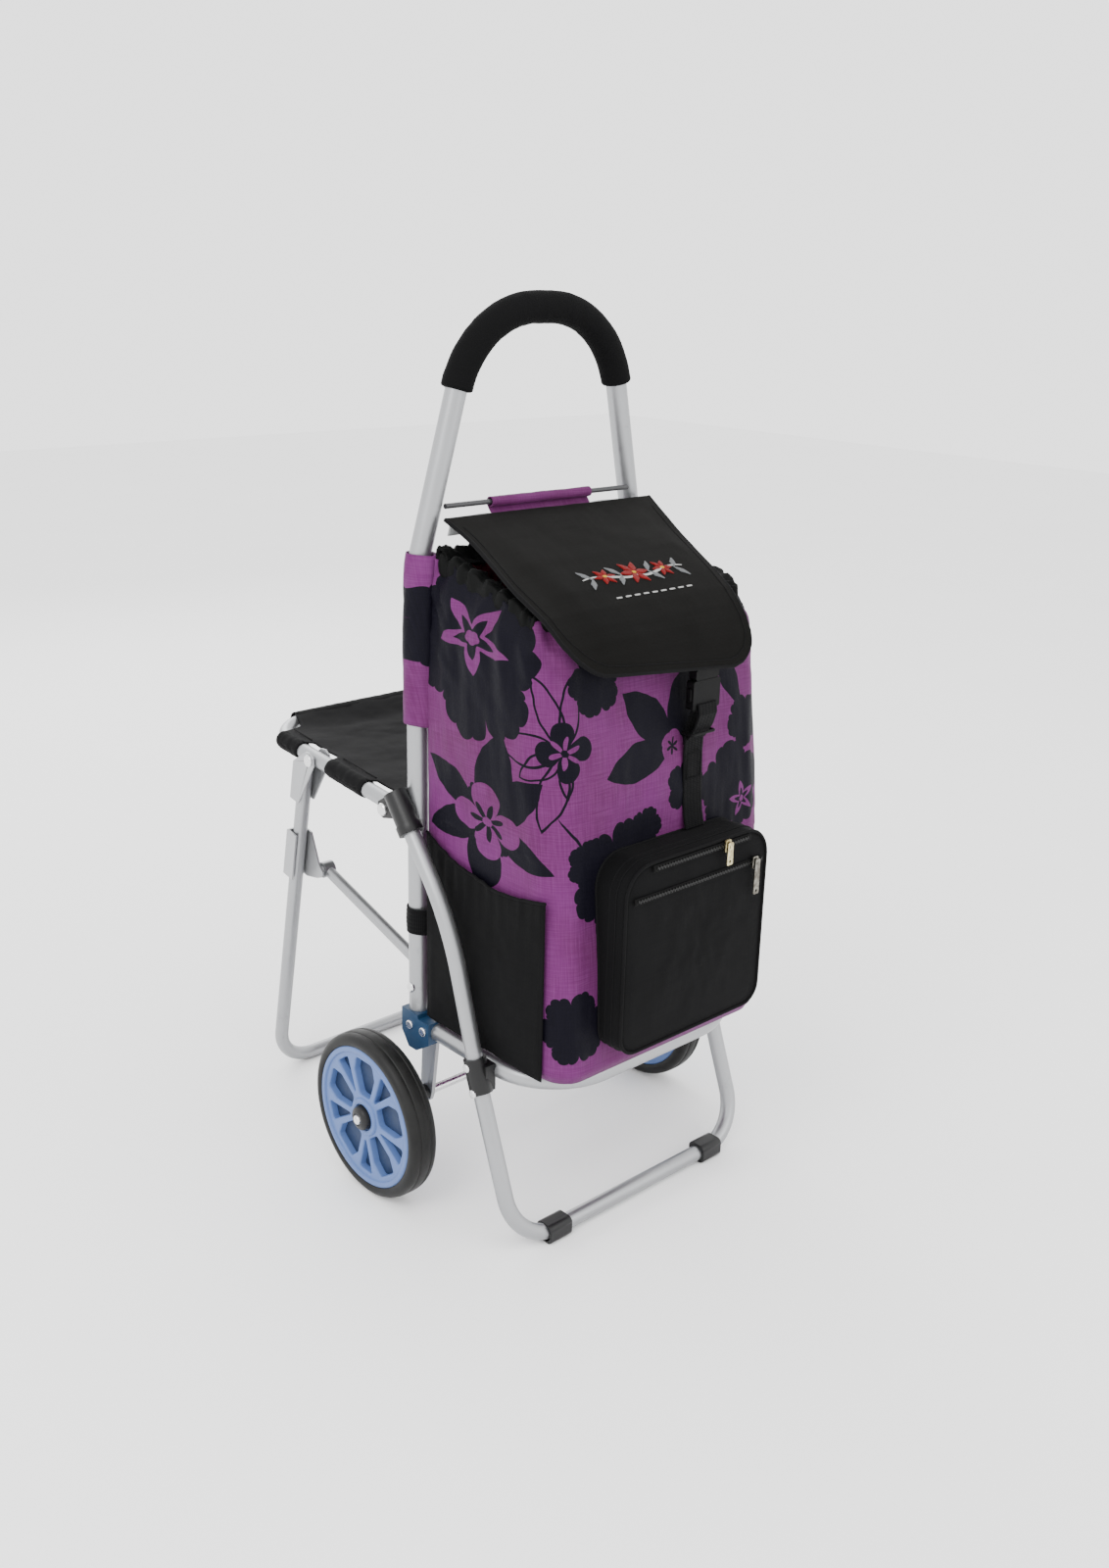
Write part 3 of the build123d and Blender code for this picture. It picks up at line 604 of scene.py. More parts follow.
def motif(n, sheet, middle, turn, stretch=1.0):
    """Coordinates centred on a motif and turned to its own direction."""
    moved = n.node(
        "ShaderNodeMapping",
        {
            "Vector": sheet,
            "Location": (*middle, 0),
            "Rotation": (0, 0, math.radians(turn)),
            "Scale": (stretch, 1, 1),
        },
        vector_type="TEXTURE",
    )
    return moved.outputs[0]


def leaf_from(n, sheet, base, tip, half_width, line=0.0):
    run = Vector(tip) - Vector(base)
    middle = (Vector(tip) + Vector(base)) / 2
    where = motif(n, sheet, middle, math.degrees(math.atan2(run.y, run.x)))
    return leaf(n, where, run.length / 2, half_width, line)


def printed_cloth(name):
    """Floral print in dark ink on a purple weave, with yarn texture and a soft sheen."""
    n = Nodes(name)
    uv = n.place(uv=True)
    sheet = n.node("ShaderNodeVectorMath", {0: uv, 1: (1000, 1000, 0)}, operation="MULTIPLY").outputs[0]
    wobble = n.node("ShaderNodeTexNoise", {"Vector": sheet, "Scale": 0.045, "Detail": 1.0}).outputs["Color"]
    wobble = n.node("ShaderNodeVectorMath", {0: wobble, 1: (0.5, 0.5, 0.5)}, operation="SUBTRACT").outputs[0]
    wobble = n.node("ShaderNodeVectorMath", {0: wobble, 1: (6, 6, 0)}, operation="MULTIPLY").outputs[0]
    sheet = n.node("ShaderNodeVectorMath", {0: sheet, 1: wobble}, operation="ADD").outputs[0]
    cloud = n.noise(n.place(), 10.0, 4.0)
    ground = n.blend(n.spread(cloud, 0.35, 0.65, 0, 1), PURPLE_WARM, PURPLE)
    yarn_v = n.stretched(uv, (850, 30, 1), 2.0)
    yarn_h = n.stretched(uv, (30, 850, 1), 2.0)
    yarns = n.math("MULTIPLY", n.math("ADD", yarn_v, yarn_h), 0.5)
    pale = n.spread(yarns, 0.42, 0.66, 0.0, 0.30)
    ground = n.blend(pale, ground, (0.175, 0.052, 0.165))
    dark = n.blend(pale, INK, (0.0070, 0.0060, 0.0125))
    tone = ground

    def ink(mask, colour=dark):
        nonlocal tone
        tone = n.blend(mask, tone, colour)

    def ruffled(middle, turn, reach, count=5):
        ink(petals(n, motif(n, sheet, middle, turn), count, reach * 0.93, reach * 0.68, 0.45, reach * 0.07))

    def starred(middle, turn, size, stretch=1.0):
        """Pointed flower reversed out of the ink, with an inked star and a pale eye."""
        where = motif(n, motif(n, sheet, middle, 0, stretch), (0, 0), turn)
        ink(petals(n, where, 5, size, size * 0.34, 0.75, pointed=True), ground)
        ink(petals(n, where, 5, size * 0.58, size * 0.22, 0.9, pointed=True))
        ink(petals(n, where, 5, size * 0.19, size * 0.16, 1.0), ground)

    def four_petals(middle, turn, size):
        """Rounded four-petalled flower with a dark star in it."""
        wide = motif(n, sheet, middle, 0, 1.25)
        where = motif(n, wide, (0, 0), turn)
        ink(petals(n, where, 4, size, size * 0.30, 0.5), ground)
        ink(petals(n, motif(n, wide, (0, 0), turn + 20), 7, size * 0.52, size * 0.13, 2.0))
        ink(petals(n, where, 8, size * 0.14, size * 0.13, 1.0), ground)

    def spray(heart, leaves, line=0.0):
        """Leaves round a flower, each given as bearing in degrees, length and half width."""
        for bearing, length, half_width in leaves:
            turn = math.radians(bearing)
            tip = (heart[0] + length * math.cos(turn), heart[1] + length * math.sin(turn))
            ink(leaf_from(n, sheet, heart, tip, half_width, line))

    # near side panel
    ruffled((-215, 565), 12, 80, 6)
    ruffled((-270, 570), 50, 50, 5)
    ruffled((-180, 595), 30, 35, 5)
    starred((-215, 580), -20, 35, 1.45)
    heart = (-215, 415)
    spray(heart, ((70, 95, 24), (150, 90, 15), (35, 90, 18), (-20, 85, 14), (195, 90, 16), (255, 75, 24)))
    ruffled(heart, 10, 35, 7)
    four_petals(heart, -5, 36)
    # thin-lined flower by the near front edge
    fine = (-120, 495)
    spray(fine, ((80, 70, 9), (110, 70, 10), (180, 70, 14), (210, 50, 10), (250, 75, 13), (270, 40, 6)), 1.05)
    ink(petals(n, motif(n, sheet, fine, 6), 4, 27, 7, 0.6))
    ink(petals(n, motif(n, sheet, fine, 20), 6, 15, 2.5, 2.2), ground)
    ink(petals(n, motif(n, sheet, fine, 0), 6, 3.4, 3.0, 1.0))
    ink(leaf_from(n, sheet, (-130, 440), (-100, 395), 1.4))
    # front panel
    ruffled((-85, 550), 30, 30, 5)
    ruffled((-80, 590), 30, 30, 5)
    ruffled((-65, 370), 12, 55, 6)
    ruffled((-30, 410), 0, 20, 5)
    ruffled((-105, 395), 0, 20, 5)
    disc = (5, 480)
    spray(disc, ((135, 80, 18), (190, 85, 17), (70, 80, 17), (20, 60, 12)))
    ruffled((20, 440), 0, 25, 5)
    ink(petals(n, motif(n, sheet, disc, 0), 5, 14, 12, 0.5), ground)
    ink(petals(n, motif(n, sheet, disc, 20), 6, 8, 2, 2.0))
    ruffled((85, 425), 20, 45, 5)
    starred((100, 410), 30, 18)
    ruffled((105, 485), 45, 25, 5)
    ink(leaf_from(n, sheet, (70, 560), (100, 500), 11))
    ruffled((-120, 240), 8, 36, 6)
    ruffled((60, 235), 8, 44, 6)
    # far side panel and back
    ruffled((250, 545), 18, 82, 6)
    starred((258, 560), 80, 34)
    six = ((95, 90, 22), (155, 90, 22), (200, 80, 22), (40, 80, 22), (320, 80, 22), (275, 80, 22))
    spray((235, 400), six)
    four_petals((235, 400), 30, 34)
    ruffled((160, 590), 18, 44, 5)
    ruffled((190, 250), 18, 60, 6)
    ruffled((-230, 250), 18, 60, 6)
    for side in (-1, 1):
        ruffled((side * 400, 560), 18, 62, 6)
        starred((side * 400, 565), 80, 30)
        spray((side * 396, 400), ((15, 75, 22), (150, 75, 22), (270, 80, 22)))
        four_petals((side * 396, 400), 30, 30)
        ruffled((side * 410, 250), 18, 60, 6)

    weave = weave_height(n, 0.0012)
    n.set(Base_Color=tone, Roughness=n.spread(yarns, 0.3, 0.7, 0.44, 0.60))
    n.set(Sheen_Weight=0.02, Sheen_Roughness=0.4, Specular_IOR_Level=0.06)
    creases = n.stretched(uv, (46, 12, 1), 5.0, 0.6)
    height = n.math("ADD", n.math("MULTIPLY", weave, 0.25), n.math("MULTIPLY", creases, 2.5))
    n.bump(n.math("ADD", height, n.math("MULTIPLY", yarns, 0.5)), 0.35, 0.0012)
    return n.mat


# ---- bag shell ----------------------------------------------------------------------
def bag_lengths(z):
    front = front_y(z)
    return (
        BAG_HALF - FRONT_CORNER,
        FRONT_CORNER * math.pi / 2,
        BAG_REAR - REAR_CORNER - front - FRONT_CORNER,
        REAR_CORNER * math.pi / 2,
        BAG_HALF - REAR_CORNER,
    )


def bag_plan(side, s, z):
    """Point and outward direction in plan, s millimetres round from the front's middle."""
    front = front_y(z)
    flat, arc_f, run, arc_r, _ = bag_lengths(z)
    if s < flat:
        return (side * s, front), (0.0, -1.0)
    s -= flat
    if s < arc_f:
        a = s / FRONT_CORNER
        x = BAG_HALF - FRONT_CORNER + FRONT_CORNER * math.sin(a)
        return (side * x, front + FRONT_CORNER * (1 - math.cos(a))), (side * math.sin(a), -math.cos(a))
    s -= arc_f
    if s < run:
        return (side * BAG_HALF, front + FRONT_CORNER + s), (float(side), 0.0)
    s -= run
    if s < arc_r:
        a = s / REAR_CORNER
        x = BAG_HALF - REAR_CORNER * (1 - math.cos(a))
        y = BAG_REAR - REAR_CORNER + REAR_CORNER * math.sin(a)
        return (side * x, y), (side * math.cos(a), math.sin(a))
    s -= arc_r
    return (side * (BAG_HALF - REAR_CORNER - s), BAG_REAR), (0.0, 1.0)


def rim_z(y):
    return mix(TOP_FRONT_Z, TOP_REAR_Z, clamp((y - front_y(600)) / (BAG_REAR - front_y(600))))


def folds(u, z):
    """How far the cloth stands out of its flat panel, in millimetres."""
    gather = smooth(500, 620, z)
    low_sag = 1 - smooth(190, 260, z)
    long_creases = ripple(u * 0.022, z * 0.0035, 3.0) * 2.4
    fine = ripple(u * 0.09, z * 0.03, 8.0) * 0.5
    pulled = math.sin(u * 0.17 + 3 * ripple(u * 0.01, z * 0.006, 5.0)) * 2.2 * gather
    drawn = -abs(ripple((u + z * 0.9) * 0.03, (z - u) * 0.006, 12.0)) * 5.0 * gather
    return long_creases + fine + pulled + drawn + 1.5 * low_sag * ripple(u * 0.03, z * 0.05, 2.0)


def bag_surface(t, v):
    """t runs -1..1 round the bag from the rear seam, v 0..1 from the floor's middle to the rim."""
    side = -1 if t < 0 else 1
    floor_share = 0.10
    level = clamp((v - floor_share) / (1 - floor_share))
    z = mix(BAG_BOTTOM, 620, level)
    lengths = bag_lengths(z)
    s = min(abs(t), 0.9999) * sum(lengths)
    (x, y), (nx, ny) = bag_plan(side, s, z)
    z = mix(BAG_BOTTOM + 1, rim_z(y), level)
    (x, y), (nx, ny) = bag_plan(side, min(s, sum(bag_lengths(z)) - 0.01), z)
    u = side * s
    out = folds(u, z) * smooth(0.0, 0.06, level)
    at_side = abs(nx)
    full = smooth(395, 460, z) * (1 - smooth(560, 640, z))
    across = clamp((y - BAG_REAR) / (front_y(z) - BAG_REAR))
    out += at_side * full * 3.0 * math.sin(math.pi * across)
    out += max(-ny, 0.0) * full * 5.0 * (1 - (x / BAG_HALF) ** 2)
    if at_side > 0.5 and z < 395:
        out = min(out, 0.0) * 0.6 - 0.6
    if ny > 0.5:
        out = min(out, 0.5) * 0.5 + 1.0 * math.sin(math.pi * level)
    out = min(out, 4.5)
    shoulder = smooth(0.93, 1.0, level)
    out -= 11 * shoulder ** 1.5 * (1 - 0.7 * max(ny, 0))
    foot = 1 - smooth(0.0, 0.035, level)
    out -= 7 * foot ** 2
    x += nx * out
    y += ny * out
    z += 4 * ripple(u * 0.05, 4.0) * shoulder
    if v < floor_share:
        k = v / floor_share
        centre_y = (BAG_REAR + front_y(BAG_BOTTOM)) / 2
        x = x * k
        y = mix(centre_y, y, k)
        z = BAG_BOTTOM + 1 - 1.5 * math.sin(math.pi * k)
    return at(x, y, z), (u * MM, z * MM)


def make_bag(cloth_mat):
    shell = grid(
        "bag_shell_cloth", 300, 130,
        lambda u, v: bag_surface(u * 2 - 1, v)[0],
        cloth_mat,
        uv=lambda u, v: bag_surface(u * 2 - 1, v)[1],
        closed=True,
    )
    thicken(shell, 1.4)
    shell = bake(shell)
    return finish_piece(shell, "frame", "print_fabric", "bag_shell")


def mouth_point(t, inset, lift, wave=0.0):
    """Point on a ring set in from the rim and raised above it; wave makes pleats."""
    side = -1 if t < 0 else 1
    z = 612.0
    s = min(abs(t), 0.9999) * sum(bag_lengths(z))
    (x, y), (nx, ny) = bag_plan(side, s, z)
    phase = side * s * 0.40 + 5.0 * ripple(side * s * 0.018, inset * 0.03, 7.0)
    loose = ripple(side * s * 0.10, inset * 0.07, 17.0)
    inset += wave * (0.75 * math.sin(phase) + 0.9 * loose)
    lift += 0.6 * wave * (math.sin(phase + 1.3 + inset * 0.08) + ripple(side * s * 0.07, inset * 0.05, 27.0))
    return at(x - nx * inset, y - ny * inset * (1 if ny < 0 else 0.6), rim_z(y) + lift)


def make_collar(black, lining):
    """Black gathered channel inside the mouth, with the lining showing below it."""
    rows = ((10, -16, 0.6), (9, -4, 1.6), (11, 4, 2.6), (16, 6, 3.4), (24, 4, 4.0), (31, -2, 3.4),
            (34, -8, 2.2),
            (38, -6, 3.6), (46, -9, 3.0))

    def ring(u, v):
        spot = v * (len(rows) - 1)
        i = min(int(spot), len(rows) - 2)
        inset, lift, wave = (mix(a, b, spot - i) for a, b in zip(rows[i], rows[i + 1]))
        return mouth_point(u * 2 - 1, inset, lift, wave)

    def lay(u, v):
        return (u * 0.9, v * 0.07)

    collar = grid("collar_cloth", 420, 32, ring, black, uv=lay, closed=True)
    thicken(collar, 0.8)
    collar = bake(collar)
    finish_piece(collar, "frame", "black_fabric", "drawstring_collar")
    inner = grid(
        "bag_lining", 200, 30,
        lambda u, v: mouth_point(u * 2 - 1, mix(40, 16, smooth(0, 0.5, v)), mix(-10, -150, v), mix(3, 1, v)),
        lining, uv=lambda u, v: (u * 0.9, v * 0.15), closed=True,
    )
    thicken(inner, 0.6)
    inner = bake(inner)
    finish_piece(inner, "frame", "black_fabric")


def make_side_pockets(black, band):
    """Patch pockets whose elastic top edge is drawn in; they sit just off the side panels."""
    top = ((-186, 362), (-150, 356), (-120, 354), (-60, 364), (-20, 380))
    for word, side in SIDES:
        def panel(u, v, side=side):
            y = mix(-188, -19, u)
            z = mix(187, along(top, y), v)
            edge = min(u, 1 - u)
            bulge = 2.6 * math.sin(math.pi * u) * smooth(0.0, 0.3, v)
            gather = (0.4 * math.sin(u * 74) + ripple(u * 14, v * 3)) * 0.9 * smooth(0.66, 1.0, v)
            soft = ripple(u * 3.1, v * 2.4, 20.0) * 1.4
            out = BAG_HALF + 0.9 + (bulge + gather + soft + 0.8) * smooth(0, 0.05, edge)
            y += (1 - smooth(0, 0.04, u)) * 1.5
            return at(side * min(out, BAG_HALF + 6.2), y, z)

        piece = grid("side_pocket_cloth_" + word, 80, 70, panel, black, uv=lambda u, v: (u * 0.17, v * 0.18))
        flip_if(piece, side > 0)
        thicken(piece, 0.9)
        piece = bake(piece)
        finish_piece(piece, "frame", "black_fabric", "side_pocket_" + word)
        hem = [panel(i / 60, 1.0) + Vector((side * 0.0004, 0, 0)) for i in range(61)]
        bead = cord_shape("side_pocket_hem_" + word, hem, 1.5, band)
        finish_piece(bead, "frame", "black_fabric")


# ---- front pocket -------------------------------------------------------------------
POCKET = {"left": low("front_pocket", 0), "right": high("front_pocket", 0)}
POCKET_LOW = low("front_pocket", 2)
POCKET_TOP = high("front_pocket", 2)
POCKET_FACE = low("front_pocket", 1)


def pocket_outline(shrink=0.0):
    corners = [
        (POCKET["left"] + shrink, POCKET_LOW + shrink),
        (POCKET["right"] - shrink, POCKET_LOW + shrink),
        (POCKET["right"] - shrink, POCKET_TOP - shrink),
        (POCKET["left"] + shrink, POCKET_TOP - shrink),
    ]
    out = []
    radii = (20, 20, 30, 30)
    for i, corner in enumerate(corners):
        here = Vector(corner)
        before = (Vector(corners[i - 1]) - here).normalized()
        after = (Vector(corners[(i + 1) % 4]) - here).normalized()
        r = max(radii[i] - shrink, 3)
        middle = here + (before + after) * r
        for k in range(13):
            a = k / 12 * math.pi / 2
            out.append(middle - before * r * math.sin(a) - after * r * math.cos(a))
    return even(out, 240)


def even(points, count):
    """The closed outline again, at count evenly spaced points."""
    loop = points + [points[0]]
    lengths = [(b - a).length for a, b in zip(loop, loop[1:])]
    total = sum(lengths)
    out = []
    i = 0
    run = 0.0
    for k in range(count):
        want = total * k / count
        while run + lengths[i] < want:
            run += lengths[i]
            i += 1
        out.append(loop[i].lerp(loop[i + 1], (want - run) / max(lengths[i], 1e-9)))
    return out


def make_front_pocket(black, bead, teeth, tape):
    """Gusseted pocket: side wall with zip, piping round the face and a soft bulged face."""
    outer = pocket_outline()
    count = len(outer)
    centre = Vector(((POCKET["left"] + POCKET["right"]) / 2, (POCKET_LOW + POCKET_TOP) / 2))
    rows = ((0.0, 0.8), (0.25, 0.0), (0.5, -0.6), (0.78, 0.0), (0.9, 0.8), (1.0, 2.0))
    face_rows = 26

    def face_y(x, z):
        across = 1 - ((x - centre.x) / 94) ** 2
        up = 1 - ((z - centre.y) / 92) ** 2
        soft = ripple(x * 0.03, z * 0.02, 30.0) * 1.6
        return POCKET_FACE + 1.5 - 1.6 * max(across, 0) * max(up, 0) + min(soft, 0.6) * max(across * up, 0)

    def point(u, v):
        base = outer[int(round(u * count)) % count]
        wall = v * (len(rows) - 1 + face_rows)
        if wall <= len(rows) - 1:
            i = min(int(wall), len(rows) - 2)
            deep, inset = (mix(a, b, wall - i) for a, b in zip(rows[i], rows[i + 1]))
            spot = base.lerp(centre, inset / 92)
            back = front_y(spot.y) + 1
            return at(spot.x, mix(back, POCKET_FACE + 2.2, deep), spot.y)
        k = (wall - len(rows) + 1) / face_rows
        spot = base.lerp(centre, mix(2 / 92, 1, k))
        return at(spot.x, mix(POCKET_FACE + 2.2, face_y(spot.x, spot.y), smooth(0, 0.12, k)), spot.y)

    def lay(u, v):
        spot = point(u, v)
        return (spot.x + 0.5 * spot.y, spot.z - 0.5 * spot.y)

    body = grid("front_pocket_cloth", count, len(rows) - 1 + face_rows, point, black, uv=lay, closed=True)
    finish_piece(body, "frame", "black_fabric", "front_pocket")
    lines = ((1.2, POCKET_FACE + 2.0, 1.5), (-0.3, mix(front_y(300), POCKET_FACE, 0.62), 0.8),
             (-0.3, mix(front_y(300), POCKET_FACE, 0.38), 0.8), (0.4, front_y(300) - 2, 1.3))
    for index, (shrink, y, radius) in enumerate(lines):
        edge_loop = even(pocket_outline(shrink), 160)
        track = [at(p.x, y if index < 3 else front_y(p.y) - 1.2, p.y) for p in edge_loop]
        piece = cord_shape(f"pocket_piping_{index}", track, radius, bead, closed=True)
        finish_piece(piece, "frame", "black_fabric")
    front_zip = ("front", low("pocket_zips", 2) + 3, low("pocket_zips", 0), high("pocket_zips", 0))
    zips = (("top", high("pocket_zips", 2) - 3, -60, 60), front_zip)
    for word, z, left, right in zips:
        def strip(u, v, z=z, left=left, right=right):
            x = mix(left - 4, right + 4, u)
            bow = 4.0 * (v - 0.5)
            return at(x, POCKET_FACE - 0.3 - 0.7 * math.cos(math.pi * (v - 0.5)), z + bow * 1.6)
        piece = grid("zip_tape_" + word, 90, 6, strip, tape, uv=lambda u, v: (u * 0.16, v * 0.006))
        thicken(piece, 0.3)
        piece = bake(piece)
        finish_piece(piece, "frame", "zip", *(["pocket_zips"] if word == "top" else []))
        verts = []
        faces = []
        x = left
        flip = 1
        while x < right:
            for corner in ((0, -1), (1.1, -1), (1.1, 1), (0, 1)):
                for y in (POCKET_FACE - 0.9, POCKET_FACE - 1.9):
                    verts.append(at(x + corner[0], y, z + flip * 0.5 + corner[1] * 1.2))
            k = len(verts) - 8
            faces += [(k, k + 2, k + 4, k + 6), (k + 1, k + 7, k + 5, k + 3)]
            faces += [(k + a, k + (a + 1) % 8, k + (a + 3) % 8, k + (a + 2) % 8) for a in (0, 2, 4, 6)]
            x += 1.8
            flip = -flip
        coil = make_object("zip_teeth_" + word, verts, faces, teeth, shade_smooth=False)
        finish_piece(coil, "frame", "zip")


# ---- flap ---------------------------------------------------------------------------
FLAP_LINE = ((-20, 672), (-60, 658), (-105, 641), (-150, 622), (-172, 611), (-188, 600),
             (-199, 590), (-207, 578),
             (-212, 565), (-215, 550))
FLAP_HALF = high("flap", 0)
FLAP_LEFT = (120.0, 136.0)       # half width at the hinge and near the front edge
FLAP_RIGHT = (138.0, 82.0)
FLAP_CORNERS = (48.0, 24.0)      # corner radius, left and right
FLAP_SKEW = 14.0                 # the front edge ends this much higher on the left


def flap_lengths():
    total = 0.0
    marks = [0.0]
    for a, b in zip(FLAP_LINE, FLAP_LINE[1:]):
        total += math.dist(a, b)
        marks.append(total)
    return marks


FLAP_MARKS = flap_lengths()
FLAP_LENGTH = FLAP_MARKS[-1]


def on_flap(x, s, lift=0.0):
    """Point on the lid's upper face: x across, s down from the hinge, in millimetres."""
    s = clamp(s, 0, FLAP_LENGTH)
    i = next(k for k in range(1, len(FLAP_MARKS)) if s <= FLAP_MARKS[k] + 1e-6)
    share = (s - FLAP_MARKS[i - 1]) / (FLAP_MARKS[i] - FLAP_MARKS[i - 1])
    y = mix(FLAP_LINE[i - 1][0], FLAP_LINE[i][0], share)
    z = mix(FLAP_LINE[i - 1][1], FLAP_LINE[i][1], share)
    run = Vector((FLAP_LINE[i][0] - FLAP_LINE[i - 1][0], FLAP_LINE[i][1] - FLAP_LINE[i - 1][1])).normalized()
    edge = smooth(0.72, 1.0, abs(x) / FLAP_HALF)
    middle = math.sin(math.pi * clamp(s / FLAP_LENGTH))
    rise = 1.2 * ripple(x * 0.012, s * 0.012, 40.0) * (1 - edge) - 3.0 * edge * middle + 1.5 * middle + lift
    return at(x, y + run.y * rise, z - run.x * rise)


def corner_cut(s, radius):
    """How far a rounded corner draws the side edge in, s millimetres down the lid."""
    past = max(s - (FLAP_LENGTH - radius), 0)
    return radius - math.sqrt(max(radius ** 2 - past ** 2, 0))


def on_lid(u, v, lift=0.0, inset=0.0):
    """Point on the lid, from its left edge (u 0) to the right, and from the hinge (v 0) to the front."""
    s = FLAP_LENGTH * v
    left = mix(FLAP_LEFT[0], FLAP_LEFT[1], smooth(20, 150, s)) - corner_cut(s, FLAP_CORNERS[0])
    right = mix(FLAP_RIGHT[1], FLAP_RIGHT[0], (1 - v) ** 1.6) - corner_cut(s, FLAP_CORNERS[1])
    short = FLAP_SKEW * v * (1 - u) + inset * v
    return on_flap(mix(inset - left, right - inset, u), s - short, lift)


def lid_border(lift, inset, first, steps=100):
    """Open path round the lid, down its left edge, along the front and back up the right."""
    down = [on_lid(0, k / steps, lift, inset) for k in range(first, steps + 1)]
    front = [on_lid(k / 40, 1, lift, inset) for k in range(1, 40)]
    back_up = [on_lid(1, k / steps, lift, inset) for k in range(steps, first - 1, -1)]
    return down + front + back_up


def make_flap(canvas, bead, threads):
    lid = grid("flap_cloth", 90, 110, on_lid, canvas, uv=lambda u, v: (u * 0.234, v * 0.24))
    flip_if(lid, True)
    thicken(lid, 3.4)
    lid = bake(lid)
    finish_piece(lid, "flap", "black_fabric", "flap")
    finish_piece(cord_shape("flap_binding", lid_border(-1.6, 0.4, 0), 2.0, bead), "flap", "black_fabric")
    seam = lid_border(0.1, 7.0, 8)
    stitched = cord_shape("flap_seam", seam, 0.45, bead)
    finish_piece(stitched, "flap", "black_fabric")
    embroider(threads)


def satin(name, spine, widths, material):
    """Raised satin-stitch stroke that follows the lid; the spine is in (x, s) millimetres."""
    steps = 40
    line = []
    for k in range(steps + 1):
        t = k / steps
        pts = [Vector(p) for p in spine]
        while len(pts) > 1:
            pts = [a.lerp(b, t) for a, b in zip(pts, pts[1:])]
        line.append(pts[0])

    def point(u, v):
        k = min(int(v * steps), steps - 1)
        spot = line[k].lerp(line[k + 1], v * steps - k)
        run = (line[k + 1] - line[k]).normalized()
        half = along(((0, widths[0]), (0.5, widths[1]), (1, widths[2])), v)
        across = (u - 0.5) * 2
        raised = 0.15 + 1.0 * math.sqrt(max(1 - across ** 2, 0)) * min(half / 2.0, 1.0)
        return on_flap(spot.x - run.y * across * half, spot.y + run.x * across * half, raised)

    stroke = grid(name, 8, steps, point, material, uv=lambda u, v: (u * 0.004, v * 0.04))
    thicken(stroke, 0.5, 0.0)
    return finish_piece(bake(stroke), "flap", "black_fabric")


def embroider(threads):
    """A plain garland of flowers and leaves, the same on both sides, over a line of running stitches."""
    red, white, yellow, grey = threads
    middle_s = 126.0
    for side in (-1, 1):
        stem = [(0, middle_s + 4), (side * 20, middle_s + 12)]
        stem += [(side * 40, middle_s - 8), (side * 62, middle_s)]
        satin(f"garland_stem_{side + 1}", stem, (1.2, 1.5, 0.6), white)
        for index, (x, lean) in enumerate(((17, -1), (17, 1), (51, -1), (51, 1))):
            root = (side * x, middle_s + 1)
            tip = (side * (x + 9), middle_s + 1 + lean * 14)
            satin(f"garland_leaf_{side + 1}_{index}", [root, tip], (0.5, 3.0, 0.4), grey)
    for index, (x, size) in enumerate(((-36, 12), (0, 17), (36, 12))):
        for k in range(6):
            turn = 2 * math.pi * k / 6
            root = (x, middle_s)
            tip = (x + size * math.cos(turn), middle_s + size * math.sin(turn))
            satin(f"garland_petal_{index}_{k}", [root, tip], (0.5, size * 0.24, 0.5), red)
        eye = [(x - 2.0, middle_s), (x + 2.0, middle_s)]
        satin(f"garland_eye_{index}", eye, (1.6, 2.2, 1.6), yellow)
    for k in range(9):
        x = (k - 4) * 11.0
        satin(f"garland_dash_{k}", [(x - 3.2, 156), (x + 3.2, 156)], (0.7, 0.9, 0.7), white)


# ---- seat sling ---------------------------------------------------------------------
SEAT_PIVOT = (36.0, 389.0)
SEAT_REAR = (268.0, 412.0)
SEAT_TUBE_R = 8.0
SEAT_RUN = math.dist(SEAT_PIVOT, SEAT_REAR)


def on_seat(x, s, lift):
    """Point above the seat tubes' plane: s millimetres back from the front pivot."""
    dy = (SEAT_REAR[0] - SEAT_PIVOT[0]) / SEAT_RUN
    dz = (SEAT_REAR[1] - SEAT_PIVOT[1]) / SEAT_RUN
    return at(x, SEAT_PIVOT[0] + dy * s - dz * lift, SEAT_PIVOT[1] + dz * s + dy * lift)


